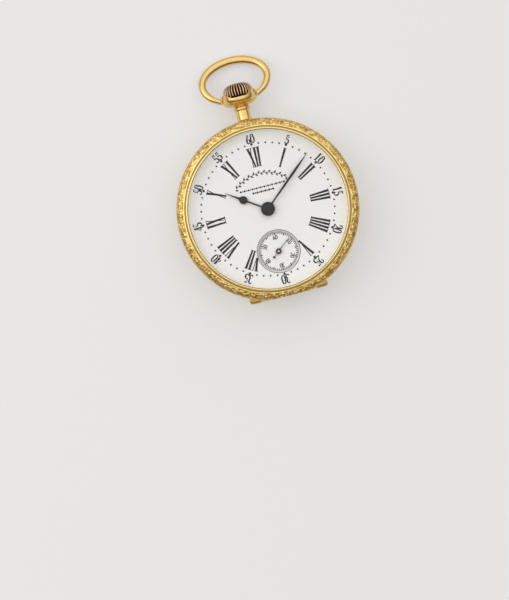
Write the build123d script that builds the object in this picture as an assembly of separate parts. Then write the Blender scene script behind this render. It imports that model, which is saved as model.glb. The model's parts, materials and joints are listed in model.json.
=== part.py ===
from build123d import *
import os
from math import atan2, cos, degrees, hypot, pi, radians, sin, sqrt

os.makedirs("parts", exist_ok=True)

# Frame: case axis on Z, back resting face at z = 0, +Z out of the dial, +Y to the pendant (12 o'clock).

# ---- clearances -------------------------------------------------------------------------------
fit = 0.03            # radial running fit of a pivot in its hole
run = 0.05            # gap between a turning flat face and its neighbour
free = 0.10           # free space around a moving piece

# ---- case -------------------------------------------------------------------------------------
back_t = 0.40         # wall of the back cover
flat_r = 13.0         # radius of the flat the watch lies on
cover_gap = 0.95      # back cover to cuvette
cuvette_t = 0.30      # inner dust cover
cuvette_rim = 0.40    # wall of its raised rim
cuvette_slope = 1.30  # case bore to its flat
rim_rise = 2.20       # height the back cover climbs from its flat
band_w = 3.15         # case bore to case silhouette
ledge_w = 0.32        # inner step the movement rests on
ledge_t = 0.60
dial_edge = 0.85      # dial edge beyond the case bore
lip_w = 0.50          # polished inner lip of the bezel
bezel_h = 2.05        # bezel above the joint with the band
snap_w = 0.55         # snap rim between band and bezel
snap_h = 0.60
crystal_t = 0.95
crystal_groove = 0.20
hinge_r = 0.80        # hinge tube
hinge_pin_r = 0.40
hinge_len = 16.8
knuckles = 7
hinge_gap = 0.06
cover_thumb_w = 4.0   # thumb piece on the back cover

# ---- pendant, crown, bow ----------------------------------------------------------------------
neck_r = 1.45
spigot_r = 1.30
flare_r = 1.95
bead_r = 1.62
pendant_rise = 3.80   # case silhouette to the cup
cup_room = 0.67       # cup outside the crown
cup_h = 2.10
cup_wall = 0.58
saddle_drop = 0.75
crown_r = 3.05
crown_h = 2.90
crown_ribs = 30
rib_depth = 0.22
crown_wall = 0.55
crown_lift = 0.15     # crown above the cup floor
stem_r = 0.60
stem_square = 0.80
pull = 0.80           # travel of crown and stem
groove_w = 0.62       # groove the setting lever works in
winding_r = 1.55      # winding pinion
tip_r_sliding = 1.15  # sliding pinion
lever_x, yoke_x = 2.90, -3.40   # pivots of setting lever and yoke beside the stem
keyless_post_r = 0.45
sleeve_r = 1.15
bow_half = 6.95       # centreline half width of the bow
bow_top_r = 0.88      # wire at the top
bow_end_r = 0.68      # wire at the ends
bow_low = 5.06        # lower half-ellipse height
bow_high = 4.75       # upper half-ellipse height
bow_pin_r = 0.35
bow_gap = 0.12        # bow end to cup side

# ---- movement ---------------------------------------------------------------------------------
m_barrel, n_barrel, n_center = 0.17, 80, 12
ratchet_share = 0.85  # barrel module as a share of the ratchet module
m_center, n_center_wheel, n_third = 0.13, 80, 10
m_third, n_third_wheel, n_fourth = 0.12, 75, 10
m_fourth, n_fourth_wheel, n_escape = 0.11, 80, 8
n_ratchet, n_crown_wheel = 52, 26
m_motion, n_cannon, n_minute, n_setting = 0.16, 12, 36, 24
n_minute_pinion, n_hour = 10, 40
seconds_drop = 9.04   # centre of the dial to the seconds axis
barrel_dir = 139.2    # directions round the plate, degrees
escape_dir = 201.3
lever_dir = 133.0
minute_dir = 55.0
escape_r, escape_teeth = 2.70, 15
escape_to_pallet = 2.95
pallet_to_balance = 3.05
balance_r = 4.35      # rim
balance_rim_w = 0.45
screw_proud = 0.35    # timing screw heads outside the rim
timing_count = 14
addendum, dedendum = 0.85, 1.15
tip_share, root_share = 0.13, 0.30   # half tooth widths as shares of the pitch

plate_t = 1.20
bridge_t = 0.70
cock_t = 0.50
wheel_t = 0.20
center_t = 0.15
ratchet_t = 0.30
head_t = 0.25
regulator_t = 0.15
hairspring_w = 0.20
balance_t = 0.45
barrel_h = 1.40
pallet_cock_t = 0.35
motion_h = 0.80       # motion works between plate and dial
dial_t = 0.60
dial_sink = 0.25      # seconds dial below the main dial
hand_t = 0.15
hand_gap = 0.20
arbor_r = 0.30
pivot_r = 0.15
jewel_r = 0.45
jewel_t = 0.30
cannon_bore = 0.40
cannon_r = 0.62
hour_pipe_r = 0.95
seconds_dial_r = 4.37
screw_r = 0.35
screw_head_r = 0.65

# ---- hands ------------------------------------------------------------------------------------
minute_len, minute_w, minute_root = 14.3, 0.56, 0.35
hour_len, hour_stem_w, pear_at, pear_r = 9.6, 0.33, 5.4, 0.86
boss_r, cap_r, cap_h = 1.49, 1.00, 0.35
seconds_len, seconds_tail, seconds_hub = 3.70, 1.84, 0.64
minute_deg = 49.2     # clockwise from twelve
hour_deg = 304.1
seconds_deg = 50.3

# ---- levels, from the back upward -------------------------------------------------------------
z_cuvette = back_t + cover_gap
z_regulator = z_cuvette + cuvette_t + 0.12
z_cock = z_regulator + regulator_t + fit
z_bridge = z_cock + cock_t + run
z_under = z_bridge + bridge_t
z_ratchet = z_bridge - run - ratchet_t
z_head = z_ratchet - head_t
z_spring = z_bridge + free
z_balance = z_spring + hairspring_w + run
z_center = z_under + 0.20
z_barrel = z_center + center_t + 0.20
z_plate = z_barrel + barrel_h + 0.15
z_barrel_teeth = z_plate - 0.70
z_pallet_cock = z_balance + balance_t + 0.45
z_escape = z_pallet_cock + pallet_cock_t + 0.20
z_third = z_center + center_t + 0.55
z_fourth = z_barrel_teeth + 0.10
z_front = z_plate + plate_t
z_motion = z_front + free
z_dial = z_front + motion_h
z_face = z_dial + dial_t
z_seconds = z_face + free
z_hour = z_seconds + hand_t + hand_gap
z_minute = z_hour + hand_t + 0.25
z_cap = z_minute + hand_t
z_crystal = z_cap + cap_h + hand_gap
z_rim = back_t + rim_rise                   # closing edge of the covers
z_band = z_rim + free                       # underside of the band
z_joint = z_dial + 0.40                     # band to bezel
z_stem = z_plate - 1.10                     # axis of crown and stem


def polar(radius, angle, centre=(0, 0)):
    """Point at a direction given in degrees counter-clockwise from +X."""
    return (centre[0] + radius * cos(radians(angle)), centre[1] + radius * sin(radians(angle)))


def centres(module, a, b):
    """Centre distance of two wheels."""
    return module * (a + b) / 2


# ---- axes of the movement ---------------------------------------------------------------------
origin = (0.0, 0.0)
m_ratchet = m_barrel / ratchet_share
fourth_at = (0.0, -seconds_drop)
reach_third = centres(m_center, n_center_wheel, n_third)
reach_fourth = centres(m_third, n_third_wheel, n_fourth)
third_y = -(reach_third**2 - reach_fourth**2 + seconds_drop**2) / (2 * seconds_drop)
third_at = (sqrt(reach_third**2 - third_y**2), third_y)
escape_at = polar(centres(m_fourth, n_fourth_wheel, n_escape), escape_dir, fourth_at)
pallet_at = polar(escape_to_pallet, lever_dir, escape_at)
balance_at = polar(pallet_to_balance, lever_dir, pallet_at)
barrel_at = polar(centres(m_barrel, n_barrel, n_center), barrel_dir)
winding = centres(m_ratchet, n_ratchet, n_crown_wheel)
crown_wheel_at = (0.0, barrel_at[1] + sqrt(winding**2 - barrel_at[0] ** 2))
motion = centres(m_motion, n_cannon, n_minute)
m_hour = 2 * motion / (n_minute_pinion + n_hour)
minute_at = polar(motion, minute_dir)
setting = centres(m_motion, n_minute, n_setting)
setting_at = (0.0, minute_at[1] + sqrt(setting**2 - minute_at[0] ** 2))


def tip(module, teeth):
    """Tip radius of a wheel."""
    return module * (teeth / 2 + addendum)


balance_reach = hypot(*balance_at) + balance_r + screw_proud
barrel_reach = hypot(*barrel_at) + tip(m_barrel, n_barrel)
movement_reach = max(balance_reach, barrel_reach)
plate_r = movement_reach + 0.12 + ledge_w
bore_r = plate_r + fit
cuvette_flat = bore_r - cuvette_slope
case_r = bore_r + band_w
dial_r = bore_r + dial_edge
bridge_r = plate_r - ledge_w - fit
view_r = dial_r - 0.20                      # free opening over the dial
hinge_y = -(case_r - 1.35)
flat_y = hinge_y - hinge_r                  # flat at six o'clock
hinge_z = z_band
winding_y = crown_wheel_at[1] + m_ratchet * n_crown_wheel / 2
cup_r = crown_r + cup_room
cup_y = case_r + pendant_rise
cup_floor = cup_y + cup_h - saddle_drop
pivot_y = cup_floor + bow_pin_r + 0.05
crown_y = cup_floor + crown_lift
wheel_step = 360.0


# ---- shape helpers ----------------------------------------------------------------------------
def disc(radius, z0, z1, at=origin, hole=0.0):
    """Upright cylinder or ring between two levels."""
    sketch = Circle(radius) - Circle(hole) if hole else Circle(radius)
    return Pos(at[0], at[1], z0) * extrude(sketch, z1 - z0)


def turned(points):
    """Solid of revolution about Z from (radius, level) points."""
    return revolve(Plane.XZ * make_face(Polyline(*points, close=True)), Axis.Z)


def stem_turned(points):
    """Solid of revolution about the stem axis from (radius, y) points."""
    return Pos(0, 0, z_stem) * revolve(make_face(Polyline(*points, close=True)), Axis.Y)


def rod(radius, y0, y1, x=0.0, z=z_stem):
    """Cylinder along Y."""
    return Pos(x, y0, z) * extrude(Plane.XZ * Circle(radius), -(y1 - y0))


def bar(radius, x0, x1, y, z):
    """Cylinder along X."""
    return Pos(x0, y, z) * extrude(Plane.YZ * Circle(radius), x1 - x0)


def block(x0, x1, y0, y1, z0, z1):
    """Box between six faces."""
    return Pos((x0 + x1) / 2, (y0 + y1) / 2, (z0 + z1) / 2) * Box(x1 - x0, y1 - y0, z1 - z0)


def strap(start, end, width, z0, z1):
    """Round-ended flat bar between two points."""
    dx, dy = end[0] - start[0], end[1] - start[1]
    middle = Pos((start[0] + end[0]) / 2, (start[1] + end[1]) / 2, z0)
    slot = SlotCenterToCenter(hypot(dx, dy), width)
    return middle * Rot(0, 0, degrees(atan2(dy, dx))) * extrude(slot, z1 - z0)


def toothed(module, teeth, phase=0.0):
    """Outline of a wheel with straight-sided teeth."""
    pitch = module * teeth / 2
    step = wheel_step / teeth
    flank = ((-root_share, -dedendum), (-tip_share, addendum), (tip_share, addendum),
        (root_share, -dedendum))
    points = [
        polar(pitch + height * module, phase + (i + share) * step) for i in range(teeth) for share,
        height in flank
    ]
    return make_face(Polyline(*points, close=True))


def crossed(outline, outer, inner, arms, arm_w, turn=0.0):
    """Cut the windows of a spoked wheel."""
    face = outline - Circle(outer) + Circle(inner)
    for i in range(arms):
        spoke = Rot(0, 0, turn + i * wheel_step / arms) * Pos((outer + inner) / 2, 0)
        face += spoke * Rectangle(outer - inner + 2 * fit, arm_w)
    return face


def lift(face, z0, z1, at=origin):
    """Stand a flat outline between two levels."""
    return Pos(at[0], at[1], z0) * extrude(face, z1 - z0)


def mesh_phase(theta, phase, teeth, other):
    """Phase of a wheel lying at theta from another, so that tooth meets gap."""
    share = ((theta - phase) / (wheel_step / teeth)) % 1
    return theta + 180 - (0.5 - share) * wheel_step / other


def heading(start, end):
    """Direction from one axis to another."""
    return degrees(atan2(end[1] - start[1], end[0] - start[0]))


def arbor(at, pinion_module, leaves, phase, p0, p1, bottom=None):
    """Arbor with pivots and leaves between the bridge and the plate."""
    top = bottom if bottom else z_plate + jewel_t + jewel_t - run
    shaft = disc(arbor_r, z_under + run, z_plate - run, at)
    pins = disc(pivot_r, z_bridge + run, top, at)
    leaf = lift(toothed(pinion_module, leaves, phase), p0, p1, at)
    return shaft + pins + leaf


def spiral(r0, r1, turns, thick, z0, z1, at):
    """Flat coiled strip."""
    count = int(turns * 16)
    line = [(r0 + (r1 - r0) * i / count, 360.0 * turns * i / count) for i in range(count + 1)]
    outer = Spline(*[polar(r + thick / 2, a) for r, a in line])
    inner = Spline(*[polar(r - thick / 2, a) for r, a in line])
    ends = [Line(outer @ 0, inner @ 0), Line(outer @ 1, inner @ 1)]
    return lift(make_face(Wire([outer, inner] + ends)), z0, z1, at)


def screw(at, head0, head1, depth):
    """Cheese-head screw with a slot, head toward the back."""
    body = disc(screw_head_r, head0, head1, at) + disc(screw_r, head1, depth, at)
    slot = block(-screw_head_r, screw_head_r, -0.07, 0.07, head0, head0 + 0.10)
    return body - Pos(at[0], at[1], 0) * Rot(0, 0, 30) * slot


def save(shape, node):
    """Write one node."""
    export_step(shape, f"parts/{node}.step")


# ---- case -------------------------------------------------------------------------------------
def bowl(r_flat, r_end, z_start, z_end):
    """Solid bowl whose wall leaves the flat tangentially and climbs to the rim."""
    outline = [
        Line((0, z_start), (r_flat, z_start)),
        TangentArc((r_flat, z_start), (r_end, z_end), tangent=(1, 0)),
        Line((r_end, z_end), (0, z_end)),
        Line((0, z_end), (0, z_start)),
    ]
    return revolve(Plane.XZ * make_face(Wire(outline)), Axis.Z)


def tube_span(index):
    """X range of one knuckle."""
    pitch = hinge_len / knuckles
    start = -hinge_len / 2 + index * pitch
    return start + hinge_gap / 2, start + pitch - hinge_gap / 2


def knuckle(index, hole):
    """One hinge knuckle."""
    x0, x1 = tube_span(index)
    return bar(hinge_r, x0, x1, hinge_y, hinge_z) - bar(hole, x0, x1, hinge_y, hinge_z)


def make_back_cover():
    edge = case_r - 0.40
    outer = bowl(flat_r, edge, 0, z_rim)
    shell = outer - bowl(flat_r, edge - 0.45, back_t, z_rim)
    cut = hinge_y + hinge_r + free
    shell &= block(-case_r, case_r, cut, case_r, -1, z_rim + 1)
    for index in (1, 5):
        x0, x1 = tube_span(index)
        web = block(x0, x1, hinge_y, cut + 0.15, 0.5, z_rim - 0.20)
        shell += web & outer
        shell += bar(hinge_r, x0, x1, hinge_y, hinge_z)
    shell -= bar(hinge_pin_r + fit, -hinge_len / 2, hinge_len / 2, hinge_y, hinge_z)
    turn = Rot(0, 0, 32)
    thumb = turn * block(edge - 0.6, edge + 0.15, -cover_thumb_w / 2, cover_thumb_w / 2, z_rim - 0.30,
        z_rim)
    return shell + thumb


def make_cuvette():
    edge = bore_r + 0.95
    wall = cuvette_rim
    outer = bowl(cuvette_flat, edge, z_cuvette, z_rim - 0.30) + disc(edge, z_rim - 0.30, z_rim)
    inner = bowl(cuvette_flat, edge - wall, z_cuvette + cuvette_t, z_rim)
    shell = outer - inner
    cut = hinge_y + hinge_r + free
    shell &= block(-case_r, case_r, cut, case_r, 0, z_rim + 1)
    leaf = max(cut, -edge) + 0.50
    for index in (2, 4):
        x0, x1 = tube_span(index)
        shell += block(x0, x1, hinge_y, leaf, z_rim - 0.52, z_rim - 0.12)
        shell += bar(hinge_r, x0, x1, hinge_y, hinge_z)
    return shell - bar(hinge_pin_r + fit, -hinge_len / 2, hinge_len / 2, hinge_y, hinge_z)


def make_case_middle():
    low, mid, top = case_r - 0.12, case_r - 0.32, case_r
    ledge0 = z_plate - ledge_t
    snap_r = dial_r + fit
    ring = turned([
        (bore_r, z_band), (low, z_band), (low, z_band + 0.5), (mid, z_band + 1.4), (mid, z_joint - 1.5),
        (top, z_joint - 0.5), (top, z_joint), (snap_r + snap_w, z_joint),
        (snap_r + snap_w, z_joint + snap_h),
        (snap_r, z_joint + snap_h), (snap_r, z_dial), (bore_r, z_dial), (bore_r, z_plate),
        (bore_r - ledge_w, z_plate), (bore_r - ledge_w, ledge0), (bore_r, ledge0),
    ])
    ring &= block(-case_r, case_r, flat_y, case_r, 0, z_crystal)
    ring -= bar(hinge_r + free, -hinge_len / 2 - free, hinge_len / 2 + free, hinge_y, hinge_z)
    for index in (0, 3, 6):
        x0, x1 = tube_span(index)
        ring += bar(hinge_r, x0, x1, hinge_y, hinge_z)
        web = block(x0, x1, flat_y, hinge_y + hinge_r, hinge_z, hinge_z + hinge_r + 0.20)
        ring += web & disc(low, 0, z_joint)
    ring -= bar(hinge_pin_r, -hinge_len / 2, hinge_len / 2, hinge_y, hinge_z)
    return ring - rod(spigot_r, bore_r - 1, case_r + 1)


def make_bezel():
    base = dial_r + fit + snap_w
    foot = z_joint + snap_h + run
    top = z_joint + bezel_h
    groove = view_r + crystal_groove
    lip = view_r + lip_w
    ring = turned([
        (view_r, z_face), (dial_r, z_face), (dial_r, foot), (base, foot), (base, z_joint),
        (case_r, z_joint),
        (case_r, z_joint + 0.5), (case_r - 0.12, z_joint + 0.9), (case_r - 0.42, z_joint + 1.3),
        (case_r - 0.95, z_joint + 1.62), (lip + 0.20, top - 0.25), (lip + 0.10, top - 0.30),
        (lip, top - 0.20),
        (lip - 0.12, top), (view_r, top), (view_r, z_crystal + 0.35), (groove, z_crystal + 0.35),
        (groove, z_crystal), (view_r, z_crystal),
    ])
    return ring & block(-case_r, case_r, flat_y, case_r, 0, top + 1)


def make_crystal():
    groove = view_r + crystal_groove
    top = z_crystal + crystal_t
    return turned([
        (0, z_crystal), (groove, z_crystal), (groove, z_crystal + 0.35),
        (view_r - 0.02, z_crystal + 0.35),
        (view_r - 0.75, top), (0, top),
    ])


def make_pendant():
    shape = stem_turned([
        (0, bore_r + 0.1), (spigot_r, bore_r + 0.1), (spigot_r, case_r - 1.1), (flare_r, case_r - 1.1),
        (flare_r, case_r + 0.05), (flare_r - 0.45, case_r + 0.5), (neck_r, case_r + 1.3),
        (neck_r, cup_y - 1.5),
        (bead_r, cup_y - 1.25), (bead_r, cup_y - 0.85), (neck_r, cup_y - 0.6), (neck_r, cup_y - 0.35),
        (cup_r - 0.9, cup_y), (cup_r - 0.1, cup_y + 0.25), (cup_r, cup_y + 0.55), (cup_r, cup_y + cup_h),
        (cup_r - cup_wall, cup_y + cup_h), (cup_r - cup_wall, cup_floor), (0, cup_floor),
    ])
    shape -= rod(stem_r + 0.15, bore_r, cup_floor)
    shape -= rod(sleeve_r, cup_y - 2.2, cup_floor)
    for side in (-1, 1):
        notch = Pos(0, cup_y + cup_h, z_stem + side * cup_r) * Rot(0, 90, 0)
        shape -= notch * Cylinder(cup_r - 1.2, 2 * cup_r)
    shape -= block(-cup_r, cup_r, bore_r, case_r + free, 0, z_band)
    return shape - bar(bow_pin_r + fit, -cup_r, cup_r, pivot_y, z_stem)


def make_sleeve():
    bottom, top = cup_y - 2.2, cup_floor - 0.15
    tube = rod(sleeve_r, bottom, top) - rod(stem_r + 0.08, bottom, top)
    for side in (-1, 1):
        tube -= block(side * 0.9 - 0.3, side * 0.9 + 0.3, top - 0.5, top, z_stem - 0.12, z_stem + 0.12)
    return tube


def make_crown():
    y0, y1 = crown_y, crown_y + crown_h
    ribs = []
    for i in range(crown_ribs):
        for share, radius in ((-0.28, crown_r), (0.0, crown_r + 0.03), (0.28, crown_r),
                (0.5, crown_r - rib_depth)):
            ribs.append(polar(radius, (i + share) * wheel_step / crown_ribs))
    knurled = Pos(0, y0, z_stem) * extrude(Plane.XZ * make_face(Polyline(*ribs, close=True)), -crown_h)
    barrel = stem_turned([
        (0, y0), (crown_r - 0.55, y0), (crown_r - 0.12, y0 + 0.45), (crown_r + 0.03, y0 + 1.0),
        (crown_r + 0.03, y1 - 1.1), (crown_r - 0.15, y1 - 0.5), (crown_r - 0.70, y1 - 0.12),
        (crown_r - 1.6, y1), (0, y1),
    ])
    crown = knurled & barrel
    crown -= rod(crown_r - rib_depth - crown_wall, y0 - free, y1 - 0.7)
    crown += rod(1.0, y0 + 0.1, y1 - 0.6)
    return crown - rod(stem_r, y0 - free, y1 - 0.9)


def make_stem():
    y_in = crown_wheel_at[1] + 0.05
    y_out = crown_y + crown_h - 0.9
    groove = groove_y - groove_w / 2
    round_part = stem_turned([
        (0, winding_y - 0.1), (stem_r, winding_y - 0.1), (stem_r, groove), (stem_r - 0.25, groove),
        (stem_r - 0.25, groove + groove_w), (stem_r, groove + groove_w), (stem_r, y_out), (0, y_out),
    ])
    half = stem_square / 2
    return round_part + block(-half, half, y_in, winding_y - 0.1, z_stem - half, z_stem + half)


def bow_radius(share):
    """Wire radius along the bow, thickest at the top."""
    return bow_end_r + (bow_top_r - bow_end_r) * sin(pi * share)


def make_bow():
    end_x = cup_r + bow_gap + bow_end_r
    rise = bow_low * sqrt(1 - (end_x / bow_half) ** 2)
    count = 12
    low = atan2(-rise / bow_low, end_x / bow_half)
    points = []
    for i in range(2 * count + 1):
        angle = low + (pi - 2 * low) * i / (2 * count)
        height = bow_low if sin(angle) < 0 else bow_high
        points.append((bow_half * cos(angle), rise + height * sin(angle)))
    path = Spline(*points)
    sections = [Plane(origin=path @ u, z_dir=path % u) * Circle(bow_radius(u)) for u in (0, 0.25, 0.5,
        0.75, 1)]
    loop = sweep(sections, path=path, multisection=True)
    for side in (-1, 1):
        loop += Pos(side * end_x, 0, 0) * Sphere(bow_end_r)
        loop += bar(bow_pin_r, min(side * end_x, side * (cup_r - 0.5)),
            max(side * end_x, side * (cup_r - 0.5)), 0, 0)
    reach = rise + bow_high
    drop = bow_drop(reach)
    return Pos(0, pivot_y, z_stem) * Rot(-drop, 0, 0) * loop


def bow_drop(reach):
    """Angle at which the hanging bow touches the resting plane."""
    return degrees(atan2(z_stem - bow_top_r, reach)) + 0.9


# ---- plate and bridges ------------------------------------------------------------------------
cock_foot = polar(plate_r - 1.95, 192.0)
train_foot = polar(plate_r - 1.30, 238.5)
barrel_foot = polar(plate_r - 1.60, 176.0)
groove_y = winding_y + 0.60 + 0.12 + groove_w / 2
lever_at = (lever_x, groove_y - 0.40)
yoke_at = (yoke_x, winding_y - 1.25)
feet_at = [polar(plate_r - 2.2, a) for a in (20.0, 118.0, 285.0)]
case_screw_at = [polar(plate_r - 0.72, a) for a in (5.0, 163.0)]
bridge_screw_at = [polar(plate_r - 1.95, a) for a in (30.0, 66.0, -28.0, -56.0)] + [barrel_foot]


def stem_room(extra=free):
    """Space swept by everything on the stem."""
    room = rod(stem_r + extra, crown_wheel_at[1] - pull, plate_r + 1)
    room += rod(tip_r_sliding + extra, winding_y - 2.55 - pull, winding_y - 0.05)
    return room + rod(winding_r + extra, winding_y - 0.05, winding_y + 0.65)




def sector(r0, r1, a0, a1, z0, z1):
    """Curved block between two radii and two directions."""
    ring = disc(r1, z0, z1, hole=r0)
    far = 3 * r1
    middle, half = (a0 + a1) / 2, (a1 - a0) / 2
    wedge = make_face(Polyline((0, 0), polar(far, middle - half), polar(far, middle),
        polar(far, middle + half), close=True))
    return ring & lift(wedge, z0, z1)


def make_main_plate():
    plate = disc(plate_r, z_plate, z_dial) - disc(plate_r - 0.70, z_front, z_dial)
    for at in (minute_at, setting_at):
        plate += disc(0.40, z_front, z_dial - 0.12, at)
    plate += disc(keyless_post_r, z_front, z_dial - 0.12, lever_at)
    plate += disc(keyless_post_r, z_front, z_dial - 0.12, yoke_at)
    plate -= disc(0.50 + fit, z_plate, z_front, origin)
    plate -= disc(0.60 + fit, z_plate, z_plate + 0.65, barrel_at)
    for at in (third_at, fourth_at, escape_at, pallet_at, balance_at):
        plate -= disc(pivot_r + 0.10, z_plate, z_front, at) + disc(jewel_r, z_plate + jewel_t, z_front,
            at)
    for at in feet_at:
        plate -= disc(0.35, z_front - 0.5, z_dial, at)
    for at in bridge_screw_at + [cock_foot, train_foot] + case_screw_at:
        plate -= disc(screw_r, z_plate, z_plate + 0.8, at)
    plate -= stem_room()
    plate -= block(-0.55, 0.55, groove_y - 0.40, groove_y + pull + 0.40, z_plate, z_front)
    plate -= block(-0.55, 0.55, winding_y - 1.60 - pull, winding_y - 0.90, z_plate, z_front)
    return plate


def make_barrel_bridge():
    bridge = disc(bridge_r, z_bridge, z_under) & block(-plate_r, plate_r, -2.6, plate_r, 0, z_dial)
    bridge += sector(bridge_r - 2.8, bridge_r, 20, 76, z_under, z_plate)
    bridge += disc(1.0, z_under, z_plate, barrel_foot)
    bridge -= disc(balance_r + screw_proud + 0.35, z_bridge, z_under, balance_at)
    bridge -= disc(2.2, z_bridge, z_under, cock_foot)
    bridge -= disc(arbor_r + fit, z_bridge, z_under, origin)
    bridge -= disc(0.60 + fit, z_bridge, z_under, barrel_at)
    for at in bridge_screw_at[:2] + [barrel_foot]:
        bridge -= disc(screw_r, z_bridge, z_plate, at)
    for at in (click_at, click_spring_at):
        bridge -= disc(0.30, z_bridge, z_bridge + 0.5, at)
    bridge -= disc(0.50, z_bridge, z_bridge + 0.30, crown_wheel_at)
    return bridge - stem_room()


def make_train_bridge():
    bridge = disc(bridge_r, z_bridge, z_under) & block(train_foot[0] - 1.5, plate_r, -plate_r, -2.9, 0,
        z_dial)
    bridge -= disc(balance_r + screw_proud + 0.35, z_bridge, z_under, balance_at)
    bridge -= disc(2.2, z_bridge, z_under, cock_foot)
    bridge += sector(bridge_r - 1.6, bridge_r, -66, -18, z_under, z_plate)
    bridge += disc(0.65, z_under, z_plate, train_foot)
    for at in (third_at, fourth_at, escape_at):
        bridge -= disc(jewel_r, z_bridge, z_bridge + jewel_t, at) + disc(pivot_r + 0.10, z_bridge,
            z_under, at)
    for at in bridge_screw_at[2:4] + [train_foot]:
        bridge -= disc(screw_r, z_bridge, z_plate, at)
    return bridge


def make_balance_cock():
    cock = strap(balance_at, cock_foot, 2.6, z_cock, z_cock + cock_t) + disc(1.9, z_cock,
        z_cock + cock_t, balance_at)
    cock += disc(1.35, z_cock, z_plate, cock_foot)
    stud = polar(2.75, heading(balance_at, cock_foot) + 62, balance_at)
    cock += strap(balance_at, stud, 1.1, z_cock, z_cock + cock_t)
    cock -= disc(jewel_r, z_cock, z_cock + jewel_t, balance_at) + disc(pivot_r + 0.10, z_cock, z_bridge,
        balance_at)
    cock -= disc(screw_r, z_cock, z_plate, cock_foot)
    return cock - disc(0.18, z_cock, z_bridge, stud)


def make_pallet_cock():
    foot = polar(2.55, lever_dir + 90, pallet_at)
    other = polar(2.55, lever_dir - 90, pallet_at)
    top = z_pallet_cock + pallet_cock_t
    cock = strap(foot, other, 1.0, z_pallet_cock, top) + disc(0.55, top, z_plate, foot) + disc(0.55,
        top, z_plate, other)
    return cock - disc(pivot_r + fit, z_pallet_cock, top, pallet_at)


# ---- power ------------------------------------------------------------------------------------
click_at = polar(7.00, -20.0, barrel_at)
click_tip = polar(tip(m_ratchet, n_ratchet) + 0.05, -4.0, barrel_at)
click_spring_at = (click_at[0] + 3.6, click_at[1] + 3.4)
drum_r = m_barrel * n_barrel / 2 - 0.32
phase_center = mesh_phase(heading(barrel_at, origin), 0.0, n_barrel, n_center)
phase_third = mesh_phase(heading(origin, third_at), 0.0, n_center_wheel, n_third)
phase_fourth = mesh_phase(heading(third_at, fourth_at), 0.0, n_third_wheel, n_fourth)
phase_escape = mesh_phase(heading(fourth_at, escape_at), 0.0, n_fourth_wheel, n_escape)
phase_crown = mesh_phase(heading(barrel_at, crown_wheel_at), 0.0, n_ratchet, n_crown_wheel)
phase_minute = mesh_phase(heading(origin, minute_at), 0.0, n_cannon, n_minute)
phase_hour = mesh_phase(heading(minute_at, origin), 0.0, n_minute_pinion, n_hour)
phase_setting = mesh_phase(heading(minute_at, setting_at), phase_minute, n_minute, n_setting)


def make_barrel():
    drum = disc(drum_r, z_barrel, z_plate - 0.15, barrel_at)
    drum -= disc(drum_r - 0.30, z_barrel + 0.20, z_plate - 0.15, barrel_at)
    ring = lift(toothed(m_barrel, n_barrel), z_barrel_teeth, z_barrel_teeth + 0.30, barrel_at)
    drum += ring - disc(drum_r - 0.30, z_barrel, z_plate, barrel_at)
    return drum - disc(0.60 + fit, z_barrel, z_plate, barrel_at)


def make_barrel_cover():
    top = z_plate - 0.15
    return disc(drum_r - 0.30, top - 0.20, top, barrel_at, 0.60 + fit)


def make_barrel_arbor():
    core = disc(1.0, z_barrel + 0.20 + run, z_plate - 0.35 - run, barrel_at)
    return core + disc(0.60, z_ratchet, z_plate + 0.60, barrel_at) - disc(screw_r, z_ratchet,
        z_ratchet + 0.8, barrel_at)


def make_ratchet():
    face = toothed(m_ratchet, n_ratchet) - Circle(0.60)
    wheel = lift(face, z_ratchet, z_ratchet + ratchet_t, barrel_at)
    return wheel


def make_crown_wheel():
    face = toothed(m_ratchet, n_crown_wheel, phase_crown) - Circle(0.50 + fit)
    return lift(face, z_ratchet, z_ratchet + ratchet_t, crown_wheel_at)


def make_head_screw(at, head_r, shank_r, depth):
    body = disc(head_r, z_head, z_ratchet - fit, at) + disc(shank_r, z_ratchet - fit, depth, at)
    return body - Pos(at[0], at[1], 0) * Rot(0, 0, 55) * block(-head_r, head_r, -0.1, 0.1, z_head,
        z_head + 0.1)


def make_click():
    body = strap(click_at, click_tip, 0.55, z_ratchet, z_ratchet + ratchet_t) + disc(0.7, z_ratchet,
        z_ratchet + ratchet_t, click_at)
    body -= lift(Circle(tip(m_ratchet, n_ratchet) + 0.04), z_ratchet, z_ratchet + ratchet_t, barrel_at)
    return body - disc(0.30 + fit, z_ratchet, z_ratchet + ratchet_t, click_at)


def make_click_spring():
    touch = polar(0.7 + 0.12, 40.0, click_at)
    leaf = strap(click_spring_at, touch, 0.16, z_ratchet, z_ratchet + ratchet_t)
    leaf += disc(0.55, z_ratchet, z_bridge, click_spring_at)
    return leaf + disc(0.30, z_bridge, z_bridge + 0.5, click_spring_at)


def make_click_stud():
    return disc(0.30, z_ratchet, z_bridge + 0.5, click_at) + disc(0.55, z_head, z_ratchet - fit,
        click_at) + disc(
        0.30, z_ratchet - fit, z_ratchet, click_at)


# ---- train ------------------------------------------------------------------------------------
def make_center_wheel():
    face = crossed(toothed(m_center, n_center_wheel), 4.65, 1.0, 5, 0.45)
    wheel = lift(face, z_center, z_center + center_t)
    wheel += disc(0.50, z_under + run, z_front) + disc(arbor_r, z_bridge + run, z_under + run)
    wheel += lift(toothed(m_barrel, n_center, phase_center), z_barrel_teeth - 0.10, z_plate - run)
    return wheel + disc(cannon_bore, z_front, z_cap - 0.05)


def make_third_wheel():
    face = crossed(toothed(m_third, n_third_wheel), 3.95, 0.85, 4, 0.38, 20)
    wheel = lift(face, z_third, z_third + wheel_t, third_at)
    return wheel + arbor(third_at, m_center, n_third, phase_third, z_center - free, z_third - free)


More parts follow.
